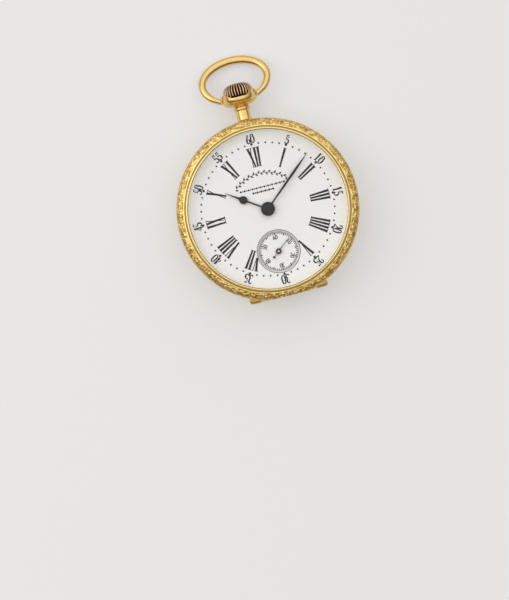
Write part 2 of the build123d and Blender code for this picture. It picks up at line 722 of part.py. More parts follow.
def make_fourth_wheel():
    face = crossed(toothed(m_fourth, n_fourth_wheel), 3.95, 0.80, 4, 0.36, 40)
    wheel = lift(face, z_fourth, z_fourth + wheel_t, fourth_at)
    return wheel + arbor(fourth_at, m_third, n_fourth, phase_fourth, z_third - run, z_fourth - free,
        z_seconds + hand_t)


def make_escape_wheel():
    outline = []
    for i in range(escape_teeth):
        step = wheel_step / escape_teeth
        outline += [polar(2.15, i * step), polar(escape_r, (i + 0.42) * step),
            polar(escape_r, (i + 0.55) * step)]
        outline += [polar(2.15, (i + 0.32) * step + 8)]
    face = crossed(make_face(Polyline(*outline, close=True)), 1.85, 0.55, 4, 0.26)
    wheel = lift(face, z_escape, z_escape + wheel_t, escape_at)
    return wheel + arbor(escape_at, m_fourth, n_escape, phase_escape, z_fourth - free,
        z_plate - 2 * free - run)


def pallet_frame():
    """Lever frame: X along the line from the pallet staff to the balance."""
    return Pos(pallet_at[0], pallet_at[1], z_escape) * Rot(0, 0, lever_dir)


def make_pallet_fork():
    lever = make_face(Polyline((-0.15, -0.20), (1.90, -0.11), (1.90, 0.11), (-0.15, 0.20), close=True))
    fork = Pos(2.02, 0) * (Rectangle(0.50, 0.62) - Pos(0.12, 0) * Rectangle(0.34, 0.26))
    arms = make_face(Polyline((0.35, 0), (-0.05, 2.1), (-0.55, 1.95), (-0.12, 0), (-0.55, -1.95),
        (-0.05, -2.1), close=True))
    body = pallet_frame() * extrude(lever + fork + arms + Circle(0.20), wheel_t)
    staff = disc(pivot_r, z_pallet_cock, z_plate + 2 * jewel_t - run, pallet_at)
    return body + staff + disc(0.20, z_escape - free, z_plate - run, pallet_at)


def make_pallet_stones():
    stones = []
    for side in (-1, 1):
        stone = Pos(-0.52, side * 2.02, wheel_t) * Rot(0, 0, side * -18) * Box(0.40, 0.24, 0.14)
        stones.append(pallet_frame() * stone)
    return Compound(stones)


# ---- balance ----------------------------------------------------------------------------------
def make_balance_wheel():
    face = Circle(balance_r) - Circle(balance_r - balance_rim_w) + Circle(0.9)
    face += Rot(0, 0, 25) * Rectangle(2 * balance_r - balance_rim_w, 0.7)
    for side in (0, 180):
        face -= Rot(0, 0, 25 + 11 + side) * Pos(balance_r - balance_rim_w / 2,
            0) * Rectangle(balance_rim_w * 1.5, 0.15)
    face -= Circle(arbor_r)
    return lift(face, z_balance, z_balance + balance_t, balance_at)


def make_timing_screws():
    middle = z_balance + balance_t / 2
    heads = []
    for i in range(timing_count):
        turn = Rot(0, 0, 25 + (i + 0.5) * wheel_step / timing_count)
        heads.append(Pos(balance_at[0], balance_at[1], 0) * turn * bar(0.20, balance_r,
            balance_r + screw_proud, 0, middle))
    return Compound(heads)


def make_balance_staff():
    pivots = disc(pivot_r, z_cock + run, z_plate + 2 * jewel_t - run, balance_at)
    collet = disc(0.50, z_spring - run, z_spring + hairspring_w, balance_at)
    lower = disc(0.50, z_balance + balance_t, z_balance + balance_t + 0.15, balance_at)
    return pivots + disc(arbor_r, z_spring - run, z_plate - run, balance_at) + collet + lower


def make_roller():
    table = disc(0.80, z_escape - 0.30, z_escape - free, balance_at, arbor_r)
    pin = polar(0.62, lever_dir + 180, balance_at)
    return table + disc(0.10, z_escape - free, z_escape + wheel_t, pin)


def make_hairspring():
    return spiral(0.70, 2.70, 9, 0.05, z_spring, z_spring + hairspring_w, balance_at)


def make_hairspring_stud():
    stud = polar(2.75, heading(balance_at, cock_foot) + 62, balance_at)
    return disc(0.18, z_cock, z_spring + hairspring_w, stud)


def make_regulator():
    point = polar(3.6, heading(balance_at, cock_foot) + 150, balance_at)
    tail = polar(2.72, heading(balance_at, cock_foot) - 75, balance_at)
    arm = disc(1.05, z_regulator, z_regulator + regulator_t, balance_at)
    arm += strap(balance_at, point, 0.28, z_regulator, z_regulator + regulator_t)
    arm += strap(balance_at, tail, 0.40, z_regulator, z_regulator + regulator_t)
    return arm - disc(0.70, z_regulator, z_regulator + regulator_t, balance_at)


# ---- keyless and motion works -----------------------------------------------------------------
def along_stem(face, y0, y1):
    """Stand an outline along the stem axis."""
    return Pos(0, y0, z_stem) * extrude(Plane.XZ * face, -(y1 - y0))


def make_winding_pinion():
    body = along_stem(toothed(0.19, 14), winding_y, winding_y + 0.60)
    return body - rod(stem_r + fit, winding_y, winding_y + 0.60)


def make_sliding_pinion():
    y0 = winding_y - 2.50
    body = along_stem(toothed(0.14, 14), y0, y0 + 0.5) + rod(1.10, y0 + 0.5, y0 + 1.05) + rod(0.85,
        y0 + 1.05, y0 + 1.55)
    body += rod(1.10, y0 + 1.55, y0 + 2.35)
    half = stem_square / 2 + fit
    return body - block(-half, half, y0, y0 + 2.35, z_stem - half, z_stem + half)


def make_setting_lever():
    level = z_motion + 0.05
    groove = (0.0, groove_y)
    body = strap(lever_at, groove, 0.7, level, level + 0.30) + disc(0.7, level, level + 0.30, lever_at)
    body += disc(0.22, z_stem + stem_r - 0.25 + run, level, groove)
    return body - disc(keyless_post_r + fit, level, level + 0.30, lever_at)


def make_yoke():
    level = z_motion + 0.05
    groove = (0.0, winding_y - 1.20)
    body = strap(yoke_at, groove, 0.7, level, level + 0.25) + disc(0.8, level, level + 0.25, yoke_at)
    body += disc(0.18, z_stem + 0.85 + run, level, groove)
    return body - disc(keyless_post_r + fit, level, level + 0.25, yoke_at)


def make_cannon_pinion():
    leaves = lift(toothed(m_motion, n_cannon), z_motion, z_motion + 0.30)
    return leaves + disc(cannon_r, z_motion, z_cap - 0.05) - disc(cannon_bore, z_motion, z_cap)


def make_minute_wheel():
    level = z_motion + 0.05
    wheel = lift(crossed(toothed(m_motion, n_minute, phase_minute), 2.35, 0.85, 4, 0.4, 10), level,
        level + 0.20, minute_at)
    wheel += lift(toothed(m_hour, n_minute_pinion), level + 0.20, z_dial - 0.12, minute_at)
    return wheel - disc(0.40 + fit, level, z_dial, minute_at)


def make_hour_wheel():
    level = z_motion + 0.35
    wheel = lift(toothed(m_hour, n_hour, phase_hour), level, level + 0.20)
    return wheel + disc(hour_pipe_r, level, z_hour + hand_t) - disc(cannon_r + fit, level, z_minute)


def make_setting_wheel():
    level = z_motion + 0.05
    wheel = lift(toothed(m_motion, n_setting, phase_setting), level, level + 0.20, setting_at)
    return wheel - disc(0.40 + fit, level, z_dial, setting_at)


# ---- dial and hands ---------------------------------------------------------------------------
def make_dial():
    plate = disc(dial_r - fit, z_dial, z_face) - disc(hour_pipe_r + 0.15, z_dial, z_face)
    return plate - disc(seconds_dial_r + fit, z_dial, z_face, fourth_at)


def make_seconds_dial():
    return disc(seconds_dial_r, z_dial, z_face - dial_sink, fourth_at, pivot_r + 0.12)


def clockwise(angle):
    """Turn a hand drawn along +Y to its reading."""
    return Rot(0, 0, -angle)


def make_hour_hand():
    stem = make_face(Polyline(
        (-hour_stem_w / 2, 0), (hour_stem_w / 2, 0), (hour_stem_w / 2, pear_at - pear_r),
        (0.09, hour_len - 0.2),
        (0, hour_len), (-0.09, hour_len - 0.2), (-hour_stem_w / 2, pear_at - pear_r), close=True))
    shoulder = make_face(Polyline(
        (pear_r * 0.93, pear_at + 0.30), (0.13, pear_at + 1.55), (-0.13, pear_at + 1.55),
        (-pear_r * 0.93, pear_at + 0.30),
        close=True))
    face = stem + Pos(0, pear_at) * Circle(pear_r) + shoulder + Circle(boss_r) - Circle(hour_pipe_r)
    return clockwise(hour_deg) * lift(face, z_hour, z_hour + hand_t)


def make_minute_hand():
    blade = make_face(Polyline(
        (-minute_root / 2, 0), (minute_root / 2, 0), (minute_w / 2, minute_len * 0.66),
        (0.05, minute_len),
        (-0.05, minute_len), (-minute_w / 2, minute_len * 0.66), close=True))
    hand = lift(blade + Circle(boss_r - 0.25), z_minute, z_cap) - disc(cannon_r, z_minute, z_cap - 0.05)
    cap = turned([(0, z_cap), (cap_r, z_cap), (cap_r * 0.85, z_cap + cap_h * 0.6),
        (cap_r * 0.4, z_cap + cap_h), (0, z_cap + cap_h)])
    return clockwise(minute_deg) * (hand + cap)


def make_seconds_hand():
    blade = make_face(Polyline((-0.09, 0), (-0.05, seconds_len), (0.05, seconds_len), (0.09, 0),
        (0.06, -seconds_tail),
                               (-0.06, -seconds_tail), close=True))
    face = blade + Circle(seconds_hub) + Pos(0, -seconds_tail) * Circle(0.27) - Circle(pivot_r)
    turn = Pos(fourth_at[0], fourth_at[1], z_seconds) * clockwise(seconds_deg)
    return turn * extrude(face, hand_t)


# ---- small shared pieces ----------------------------------------------------------------------
def make_jewels():
    rings = [disc(jewel_r, z_bridge, z_bridge + jewel_t, at, pivot_r + fit) for at in (third_at,
        fourth_at, escape_at)]
    rings.append(disc(jewel_r, z_cock, z_cock + jewel_t, balance_at, pivot_r + fit))
    for at in (third_at, fourth_at, escape_at, pallet_at, balance_at):
        rings.append(disc(jewel_r, z_plate + jewel_t, z_plate + 2 * jewel_t, at, pivot_r + fit))
    return Compound(rings)


def make_bridge_screws():
    return Compound([screw(at, z_bridge - head_t, z_bridge, z_plate + 0.8) for at in bridge_screw_at
        + [train_foot]])


def make_case_screws():
    level = z_plate - ledge_t
    screws = []
    for at in case_screw_at:
        screws.append(disc(0.68, level - 0.30, level, at) + disc(screw_r, level, z_plate + 0.8, at))
    return Compound(screws)


nodes = {
    "case_middle": make_case_middle,
    "bezel": make_bezel,
    "crystal": make_crystal,
    "back_cover": make_back_cover,
    "cuvette": make_cuvette,
    "hinge_pin": lambda: bar(hinge_pin_r, -hinge_len / 2, hinge_len / 2, hinge_y, hinge_z),
    "pendant": lambda: make_pendant() - make_case_middle(),
    "pendant_sleeve": make_sleeve,
    "bow": make_bow,
    "crown": make_crown,
    "stem": make_stem,
    "dial": make_dial,
    "seconds_dial": make_seconds_dial,
    "dial_feet": lambda: Compound([disc(0.35, z_front - 0.5, z_dial, at) for at in feet_at]),
    "hour_hand": make_hour_hand,
    "minute_hand": make_minute_hand,
    "seconds_hand": make_seconds_hand,
    "cannon_pinion": make_cannon_pinion,
    "hour_wheel": make_hour_wheel,
    "minute_wheel": make_minute_wheel,
    "setting_wheel": make_setting_wheel,
    "main_plate": make_main_plate,
    "barrel_bridge": make_barrel_bridge,
    "train_bridge": make_train_bridge,
    "balance_cock": make_balance_cock,
    "pallet_cock": make_pallet_cock,
    "barrel": make_barrel,
    "barrel_cover": make_barrel_cover,
    "barrel_arbor": make_barrel_arbor,
    "mainspring": lambda: spiral(1.25, drum_r - 0.50, 9, 0.12, z_barrel + 0.30, z_plate - 0.45,
        barrel_at),
    "ratchet_wheel": make_ratchet,
    "ratchet_screw": lambda: make_head_screw(barrel_at, 1.10, screw_r, z_ratchet + 0.8),
    "crown_wheel": make_crown_wheel,
    "crown_wheel_screw": lambda: make_head_screw(crown_wheel_at, 0.95, 0.50, z_bridge + 0.30),
    "click": make_click,
    "click_stud": make_click_stud,
    "click_spring": make_click_spring,
    "center_wheel": make_center_wheel,
    "third_wheel": make_third_wheel,
    "fourth_wheel": make_fourth_wheel,
    "escape_wheel": make_escape_wheel,
    "pallet_fork": make_pallet_fork,
    "pallet_stones": make_pallet_stones,
    "balance_wheel": make_balance_wheel,
    "timing_screws": make_timing_screws,
    "balance_staff": make_balance_staff,
    "roller": make_roller,
    "hairspring": make_hairspring,
    "hairspring_stud": make_hairspring_stud,
    "regulator": make_regulator,
    "winding_pinion": make_winding_pinion,
    "sliding_pinion": make_sliding_pinion,
    "setting_lever": make_setting_lever,
    "yoke": make_yoke,
    "jewels": make_jewels,
    "bridge_screws": make_bridge_screws,
    "cock_screw": lambda: screw(cock_foot, z_cock - 0.15, z_cock, z_plate + 0.8),
    "case_screws": make_case_screws,
}

for node, make in nodes.items():
    save(make(), node)
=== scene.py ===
# %% [markdown]
# # A fob watch in mesh and light
# This lesson dresses the working model of a small open-faced watch. The engineering model is loaded first:
# it gives every real size, and it decides what moves. Each cell then adds one piece or one finish of the
# watch and hangs it on the body it moves with.

# %% Load the engineering model
import json
import bmesh
import bpy
import mathutils
import numpy as np
from math import atan2, cos, degrees, hypot, pi, radians, sin, sqrt
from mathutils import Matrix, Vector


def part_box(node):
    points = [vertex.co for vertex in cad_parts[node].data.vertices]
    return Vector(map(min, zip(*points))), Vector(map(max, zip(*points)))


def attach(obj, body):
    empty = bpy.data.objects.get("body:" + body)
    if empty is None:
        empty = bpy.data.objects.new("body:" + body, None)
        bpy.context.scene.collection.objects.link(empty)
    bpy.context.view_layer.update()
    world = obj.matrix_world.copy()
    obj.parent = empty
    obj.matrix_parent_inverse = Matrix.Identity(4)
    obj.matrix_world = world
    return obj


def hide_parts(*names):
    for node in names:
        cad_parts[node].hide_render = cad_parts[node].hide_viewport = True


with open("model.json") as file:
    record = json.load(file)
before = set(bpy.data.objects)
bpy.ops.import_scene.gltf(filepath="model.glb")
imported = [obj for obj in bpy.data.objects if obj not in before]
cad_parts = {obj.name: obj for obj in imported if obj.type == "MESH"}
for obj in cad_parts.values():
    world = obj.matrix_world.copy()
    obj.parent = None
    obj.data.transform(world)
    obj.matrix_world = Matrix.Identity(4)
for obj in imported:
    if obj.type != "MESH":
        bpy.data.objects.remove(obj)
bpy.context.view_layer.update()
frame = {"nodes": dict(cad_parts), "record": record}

# %% [markdown]
# Everything below is thought out in millimetres, the unit a watchmaker uses, and turned into metres only
# when a mesh is written. The levels and radii come from the boxes of the engineering parts, so a change
# there moves the dressed pieces with it.

# %% Sizes read from the engineering parts
MM = 0.001
TAU = 2 * pi


def box_mm(node):
    """Lowest and highest corner of an engineering part, in millimetres."""
    low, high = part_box(node)
    return np.array(low) / MM, np.array(high) / MM


bezel_low, bezel_high = box_mm("bezel")
crystal_low, crystal_high = box_mm("crystal")
dial_low, dial_high = box_mm("dial")
pin_low, pin_high = box_mm("hinge_pin")
GROOVE = 0.20            # the crystal's groove in the bezel
BAND_W = 3.15            # case bore to case silhouette
CASE_R = bezel_high[0]
FLAT_Y = bezel_low[1]
Z_JOINT, Z_BEZEL = bezel_low[2], bezel_high[2]
Z_GLASS, Z_GLASS_TOP = crystal_low[2], crystal_high[2]
GLASS_R = crystal_high[0]
VIEW_R = GLASS_R - GROOVE
Z_DIAL, Z_FACE = dial_low[2], dial_high[2]
DIAL_R = VIEW_R + GROOVE
HINGE_Y = (pin_low[1] + pin_high[1]) / 2
HINGE_Z = (pin_low[2] + pin_high[2]) / 2
HINGE_HALF = pin_high[0]
BORE_R = CASE_R - BAND_W
Z_BAND = HINGE_Z
sub_low, sub_high = box_mm("seconds_dial")
SUB_Y = (sub_low[1] + sub_high[1]) / 2
Z_SUB = sub_high[2]
crown_low, crown_high = box_mm("crown")
STEM_Z = (crown_low[2] + crown_high[2]) / 2
CROWN_Y0, CROWN_Y1 = crown_low[1], crown_high[1]
CROWN_R = crown_high[0]
PIVOT_Y = CROWN_Y0 + 0.25
print(f"case radius {CASE_R:.2f}, crystal radius {GLASS_R:.2f}")
print(f"dial face at {Z_FACE:.2f}, seconds axis at {SUB_Y:.2f}")

# %% [markdown]
# A camera first, so that every later step can be looked at. The watch is seen from straight above with a
# long lens, lying a little turned on a table that shows 125 mm from front to back. The camera is rolled and
# the watch keeps its own straight axes: turning the camera is simpler than turning every piece.

# %% Camera
ROLL = radians(14.35)               # how far the watch lies turned
TABLE_SHOWN = 124.8                 # table from front to back of the view
WATCH_RIGHT, WATCH_UP = 2.8, 18.9   # the dial's centre from the middle of the view
CAMERA_H = 460.0
SENSOR_H = 24.0
right = np.array([cos(ROLL), -sin(ROLL)])
up = np.array([sin(ROLL), cos(ROLL)])
aim = -WATCH_RIGHT * right - WATCH_UP * up
camera_data = bpy.data.cameras.new("overhead_camera")
camera_data.sensor_fit = "VERTICAL"
camera_data.sensor_height = SENSOR_H
camera_data.lens = SENSOR_H * (CAMERA_H - Z_FACE) / TABLE_SHOWN
camera = bpy.data.objects.new("overhead_camera", camera_data)
bpy.context.scene.collection.objects.link(camera)
camera.location = (aim[0] * MM, aim[1] * MM, CAMERA_H * MM)
camera.rotation_euler = (0, 0, -ROLL)
bpy.context.scene.camera = camera
print(f"lens {camera_data.lens:.0f} mm at {CAMERA_H:.0f} mm above the table")

# %% [markdown]
# Two helpers carry the whole lesson. One turns arrays into a mesh piece and declares what it rides on. The
# other adds one shader node with its settings and links, so that a material reads as a short list.

# %% Helpers for pieces


def grid_faces(rows, cols, wrap_rows=False, wrap_cols=True):
    """Quads of a grid of points: cell (i, j) joins (i, j), (i, j+1), (i+1, j+1), (i+1, j)."""
    i = np.arange(rows if wrap_rows else rows - 1)[:, None]
    j = np.arange(cols if wrap_cols else cols - 1)[None, :]
    i2, j2 = (i + 1) % rows, (j + 1) % cols
    return np.stack([i * cols + j, i * cols + j2, i2 * cols + j2, i2 * cols + j], axis=-1).reshape(-1, 4)


def add_piece(name, parts, material, body, replaces=(), sharp=35, relief=None, merge=0.0004):
    """Mesh piece from (points in mm, faces) pairs, closed at seams and poles by merging equal points."""
    points, faces, start = [], [], 0
    for pts, quads in parts:
        points.append(pts)
        faces += (quads + start).tolist()
        start += len(pts)
    mesh = bpy.data.meshes.new(name)
    mesh.from_pydata((np.concatenate(points) * MM).tolist(), [], faces)
    if relief is not None:
        layer = mesh.attributes.new("relief", "FLOAT", "POINT")
        layer.data.foreach_set("value", relief.astype(np.float32))
    work = bmesh.new()
    work.from_mesh(mesh)
    bmesh.ops.remove_doubles(work, verts=work.verts, dist=merge * MM)
    bmesh.ops.dissolve_degenerate(work, edges=work.edges, dist=merge * MM)
    work.to_mesh(mesh)
    work.free()
    mesh.shade_smooth()
    mesh.set_sharp_from_angle(angle=radians(sharp))
    mesh.materials.append(material)
    piece = bpy.data.objects.new(name, mesh)
    bpy.context.scene.collection.objects.link(piece)
    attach(piece, body)
    if replaces:
        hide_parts(*replaces)
    print(f"{name}: {len(mesh.polygons)} faces on {body}")
    return piece


def ring(profile, segments, start=0.0, end=TAU):
    """A profile of (radius, level) carried round the case axis: x = r cos a, y = r sin a, z = level."""
    closed = abs(end - start - TAU) < 1e-9
    angle = np.linspace(start, end, segments, endpoint=not closed)
    r, z = profile[:, 0][:, None], profile[:, 1][:, None]
    return np.stack([r * np.cos(angle), r * np.sin(angle), z + 0 * angle], axis=-1), angle


def flat(grid):
    """A grid of points as one list."""
    return grid.reshape(-1, 3)


def line(start, end, count):
    """Evenly spaced points on a straight run, end left out."""
    t = np.linspace(0, 1, count, endpoint=False)[:, None]
    return np.array(start) * (1 - t) + np.array(end) * t


def arc(centre, a, b, first, last, count):
    """Points of an ellipse arc: centre + (a cos t, b sin t), end left out."""
    t = np.radians(np.linspace(first, last, count, endpoint=False))
    return np.stack([centre[0] + a * np.cos(t), centre[1] + b * np.sin(t)], axis=-1)


# %% Helpers for finishes


def colour(hex_text):
    """sRGB hex to the linear colour a shader wants."""
    value = np.array([int(hex_text[i:i + 2], 16) for i in (1, 3, 5)]) / 255
    linear = np.where(value <= 0.04045, value / 12.92, ((value + 0.055) / 1.055) ** 2.4)
    return (*[float(v) for v in linear], 1.0)


def add_node(tree, kind, inputs=None, **settings):
    """Adds one node: settings are its properties, inputs are values or sockets to link."""
    node = tree.nodes.new(kind)
    for key, value in settings.items():
        setattr(node, key, value)
    for key, value in (inputs or {}).items():
        if isinstance(value, bpy.types.NodeSocket):
            tree.links.new(value, node.inputs[key])
        else:
            node.inputs[key].default_value = value
    return node


def new_finish(name):
    """An empty material and its node tree."""
    material = bpy.data.materials.new(name)
    material.use_nodes = True
    material.node_tree.nodes.clear()
    return material, material.node_tree


def show(tree, shader):
    """Links a shader to the material's output."""
    add_node(tree, "ShaderNodeOutputMaterial", {"Surface": shader})


def ramp(tree, value, stops):
    """Colour ramp from (position, hex) stops."""
    node = add_node(tree, "ShaderNodeValToRGB", {"Fac": value})
    band = node.color_ramp.elements
    while len(band) < len(stops):
        band.new(1.0)
    for element, (position, hex_text) in zip(band, stops):
        element.position = position
        element.color = colour(hex_text)
    return node.outputs["Color"]


# %% [markdown]
# ## Gold
# The case is yellow gold. A polished surface is a coloured mirror, so its look comes from what it reflects.
# The chased band is the same gold, but a graver has cut it all over, and wear burnishes its ridges smoother.
# The mesh stores how high each point stands, and the finish reads that: painted shade in the hollows, painted
# highlight on the ridges.

# %% Gold finishes


def polished_gold():
    """18 carat gold, polished: a warm mirror with hairline wear."""
    material, tree = new_finish("polished_18k_gold")
    place = add_node(tree, "ShaderNodeTexCoord").outputs["Object"]
    wear = add_node(tree, "ShaderNodeTexNoise", {"Vector": place, "Scale": 900.0, "Detail": 3.0})
    rough = add_node(tree, "ShaderNodeMapRange", {
        "Value": wear.outputs["Fac"], "From Min": 0.3, "From Max": 0.7, "To Min": 0.16, "To Max": 0.26})
    shader = add_node(tree, "ShaderNodeBsdfPrincipled", {
        "Base Color": colour("#E6C680"), "Metallic": 1.0, "Roughness": rough.outputs["Result"]})
    show(tree, shader.outputs["BSDF"])
    return material


def relief_gold(name, stops, rough_low, rough_high):
    """Engraved gold: roughness follows the height stored on the mesh, and the colour paints shade where it is
    low and a highlight where it is high.
    """
    material, tree = new_finish(name)
    height = add_node(tree, "ShaderNodeAttribute", attribute_name="relief").outputs["Fac"]
    rough = add_node(tree, "ShaderNodeMapRange", {
        "Value": height, "To Min": rough_low, "To Max": rough_high})
    shader = add_node(tree, "ShaderNodeBsdfPrincipled", {
        "Base Color": ramp(tree, height, stops), "Metallic": 1.0, "Roughness": rough.outputs["Result"]})
    show(tree, shader.outputs["BSDF"])
    return material


GOLD = polished_gold()
# Chased colour is painted light: dark brown painted shade in the hollows, pale painted highlight on the
# ridges and plain parts.
SHADED_HOLLOW_TO_LIT_RIDGE = [(0.0, "#A07B38"), (0.45, "#D0AC60"), (0.9, "#F2DC9C")]
CHASED = relief_gold("chased_18k_gold", SHADED_HOLLOW_TO_LIT_RIDGE, 0.50, 0.30)
# The crown's grooves take near-black painted shade; the rib tops keep the pale rose gold.
SHADED_GROOVE_TO_RIB = [(0.0, "#1C110B"), (0.5, "#5E4029"), (0.9, "#E2C29C")]
CROWN_GOLD = relief_gold("fluted_rose_gold", SHADED_GROOVE_TO_RIB, 0.55, 0.24)
print("gold finishes:", GOLD.name, CHASED.name, CROWN_GOLD.name)

# %% [markdown]
# A chaser's scroll repeats round the band: a waving stem, and in each of its bends a leaf that turns on
# itself. The ground between them is punched with fine dots. It can be written as one height function of the
# length along the band and the share across it, which is cheaper and truer than carving leaves one by one.
# Punched dots are about 0.3 mm apart on a real case; here they are twice as coarse, so that they show from a
# distance.

# %% The chased pattern


STEM_W = 0.17                     # half width of the waving stem
DOT_PITCH, DOT_ROWS = 0.62, 0.58   # spacing of the punched dots along and across the band
UNEVEN = 0.20                     # share of the depth that the hand adds or leaves


def chased_height(along, across, width, repeat):
    """Height 0 to 1: the larger of a waving stem and swirling leaves, over a ground of punched dots."""
    half = repeat / 2
    cell = np.floor(along / half)
    side = np.where(cell % 2 == 0, 1.0, -1.0)
    wave = 0.5 + 0.30 * np.sin(pi * along / half)
    stem = np.exp(-(((across - wave) * width) / STEM_W) ** 2)
    dx = along - (cell + 0.5) * half
    dy = (across - 0.5 + 0.10 * side) * width
    far = np.hypot(dx, dy) / (0.46 * half)
    turn = np.arctan2(dy * side, dx)
    lobes = 0.5 + 0.5 * np.cos(5 * turn - 5.5 * far)
    leaf = np.clip(1.15 - far, 0, 1) ** 0.6 * (0.35 + 0.65 * lobes)
    body = np.maximum(stem * 0.9, leaf)
    dots = 0.5 + 0.5 * np.sin(TAU * along / DOT_PITCH + 1.6 * np.sin(2.3 * across * width))
    dots = dots * (0.5 + 0.5 * np.sin(TAU * across * width / DOT_ROWS + 1.6 * np.sin(1.3 * along)))
    return np.clip(0.25 + 0.35 * body + 0.55 * dots * (1 - 0.6 * body), 0, 1)


def hand_cut(shape, seed, soft=1):
    """Small unevenness of hand work: seeded noise, softened along both ways of the grid."""
    noise = np.random.default_rng(seed).random(shape)
    for _ in range(soft):
        noise = (noise + np.roll(noise, 1, 0) + np.roll(noise, 1, 1)
                 + np.roll(noise, -1, 0) + np.roll(noise, -1, 1)) / 5
    return (noise - noise.mean()) / noise.std()


def cut_flat(grid):
    """The flat at six o'clock: nothing of the case reaches beyond it."""
    grid[..., 1] = np.maximum(grid[..., 1], FLAT_Y)
    return grid


# %% [markdown]
# ## Bezel
# The bezel is the gold ring that holds the crystal: a bright rounded lip, a thin groove darkened with painted
# shade, then the chased band that rolls over to the edge of the case. It is a profile carried round, with the
# band pushed out along its own normal by the chased height.

# %% Bezel
LIP_R = VIEW_R + 0.50
BAND_R = LIP_R + 0.22
BAND_Z = Z_JOINT + 0.50
BAND_H = Z_BEZEL - 0.26 - BAND_Z
BAND_STEPS = 900         # points round the case, 0.13 mm apart
PLAIN_SHEEN, GROOVE_SHADE = 0.9, 0.15   # relief stored on plain polished parts, a pale painted sheen, and in the groove, painted shade


def bezel_profile():
    """Anticlockwise section: foot, edge, rolled band, groove, lip, inner wall."""
    return np.concatenate([
        line((DIAL_R + 0.60, Z_JOINT), (CASE_R - 0.05, Z_JOINT), 3),
        line((CASE_R - 0.05, Z_JOINT), (CASE_R, Z_JOINT + 0.08), 2),
        line((CASE_R, Z_JOINT + 0.08), (CASE_R, BAND_Z), 5),
        arc((BAND_R, BAND_Z), CASE_R - BAND_R, BAND_H, 0, 88, 26),
        line((BAND_R + 0.04, BAND_Z + BAND_H), (BAND_R - 0.04, Z_BEZEL - 0.36), 2),
        line((BAND_R - 0.04, Z_BEZEL - 0.36), (LIP_R + 0.05, Z_BEZEL - 0.36), 2),
        arc((VIEW_R + 0.27, Z_BEZEL - 0.27), 0.27, 0.27, -15, 180, 14),
        line((VIEW_R, Z_BEZEL - 0.27), (VIEW_R, Z_FACE + 0.02), 4),
        line((VIEW_R, Z_FACE + 0.02), (DIAL_R, Z_FACE + 0.02), 2),
        line((DIAL_R, Z_FACE + 0.02), (DIAL_R, Z_JOINT + 0.66), 2),
        line((DIAL_R, Z_JOINT + 0.66), (DIAL_R + 0.60, Z_JOINT + 0.66), 2),
        line((DIAL_R + 0.60, Z_JOINT + 0.66), (DIAL_R + 0.60, Z_JOINT), 2),
    ])


def raise_band(grid, angle, rows, depth, repeats, width, seed):
    """Pushes rows of a ring out along the section's normal by the chased height and returns that height."""
    across = np.linspace(0, 1, rows.stop - rows.start)[:, None]
    along = angle[None, :] * CASE_R
    height = chased_height(along, across, width, TAU * CASE_R / repeats)
    height = np.clip(height + UNEVEN * hand_cut(height.shape, seed, 4), 0, 1)
    edge = np.clip(np.minimum(across, 1 - across) * 9, 0, 1)
    section = grid[rows, 0][:, [0, 2]]
    slope = np.gradient(section, axis=0)
    normal = np.stack([slope[:, 1], -slope[:, 0]], axis=-1)
    normal /= np.linalg.norm(normal, axis=1)[:, None]
    push = (depth * (height - 1) * edge)
    grid[rows, :, 0] += push * normal[:, :1] * np.cos(angle)
    grid[rows, :, 1] += push * normal[:, :1] * np.sin(angle)
    grid[rows, :, 2] += push * normal[:, 1:]
    return height * edge + (1 - edge)


profile = bezel_profile()
grid, angle = ring(profile, BAND_STEPS)
band_rows = slice(8, 36)
relief = np.full(grid.shape[:2], PLAIN_SHEEN)
relief[band_rows] = raise_band(grid, angle, band_rows, depth=0.15, repeats=24, width=2.9,
                               seed=5)
# The groove between band and lip takes the dark end of the ramp: painted shade.
relief[36:41] = GROOVE_SHADE
add_piece("bezel_chased", [(flat(cut_flat(grid)), grid_faces(len(profile), BAND_STEPS, True))],
          CHASED, "case", ("bezel",), relief=relief.ravel())

# %% [markdown]
# ## Case middle
# The middle of the case is a ring with a slightly waisted outside, chased like the bezel, a bead at each
# edge, and a step inside that the movement rests on. At six o'clock it is cut flat, and a channel leaves
# room for the hinge of the two backs. The channel is made by lifting every point that would lie inside it
# onto its wall.

# %% Case middle
TUBE_R = 0.80                    # hinge tube
CHANNEL_R = TUBE_R + 0.10
LEDGE_W, LEDGE_T = 0.32, 0.60    # step the movement rests on
SNAP_W, SNAP_H = 0.55, 0.60      # rim the bezel snaps over
Z_PLATE = box_mm("main_plate")[0][2]
LOW_R, WAIST_R = CASE_R - 0.12, CASE_R - 0.32


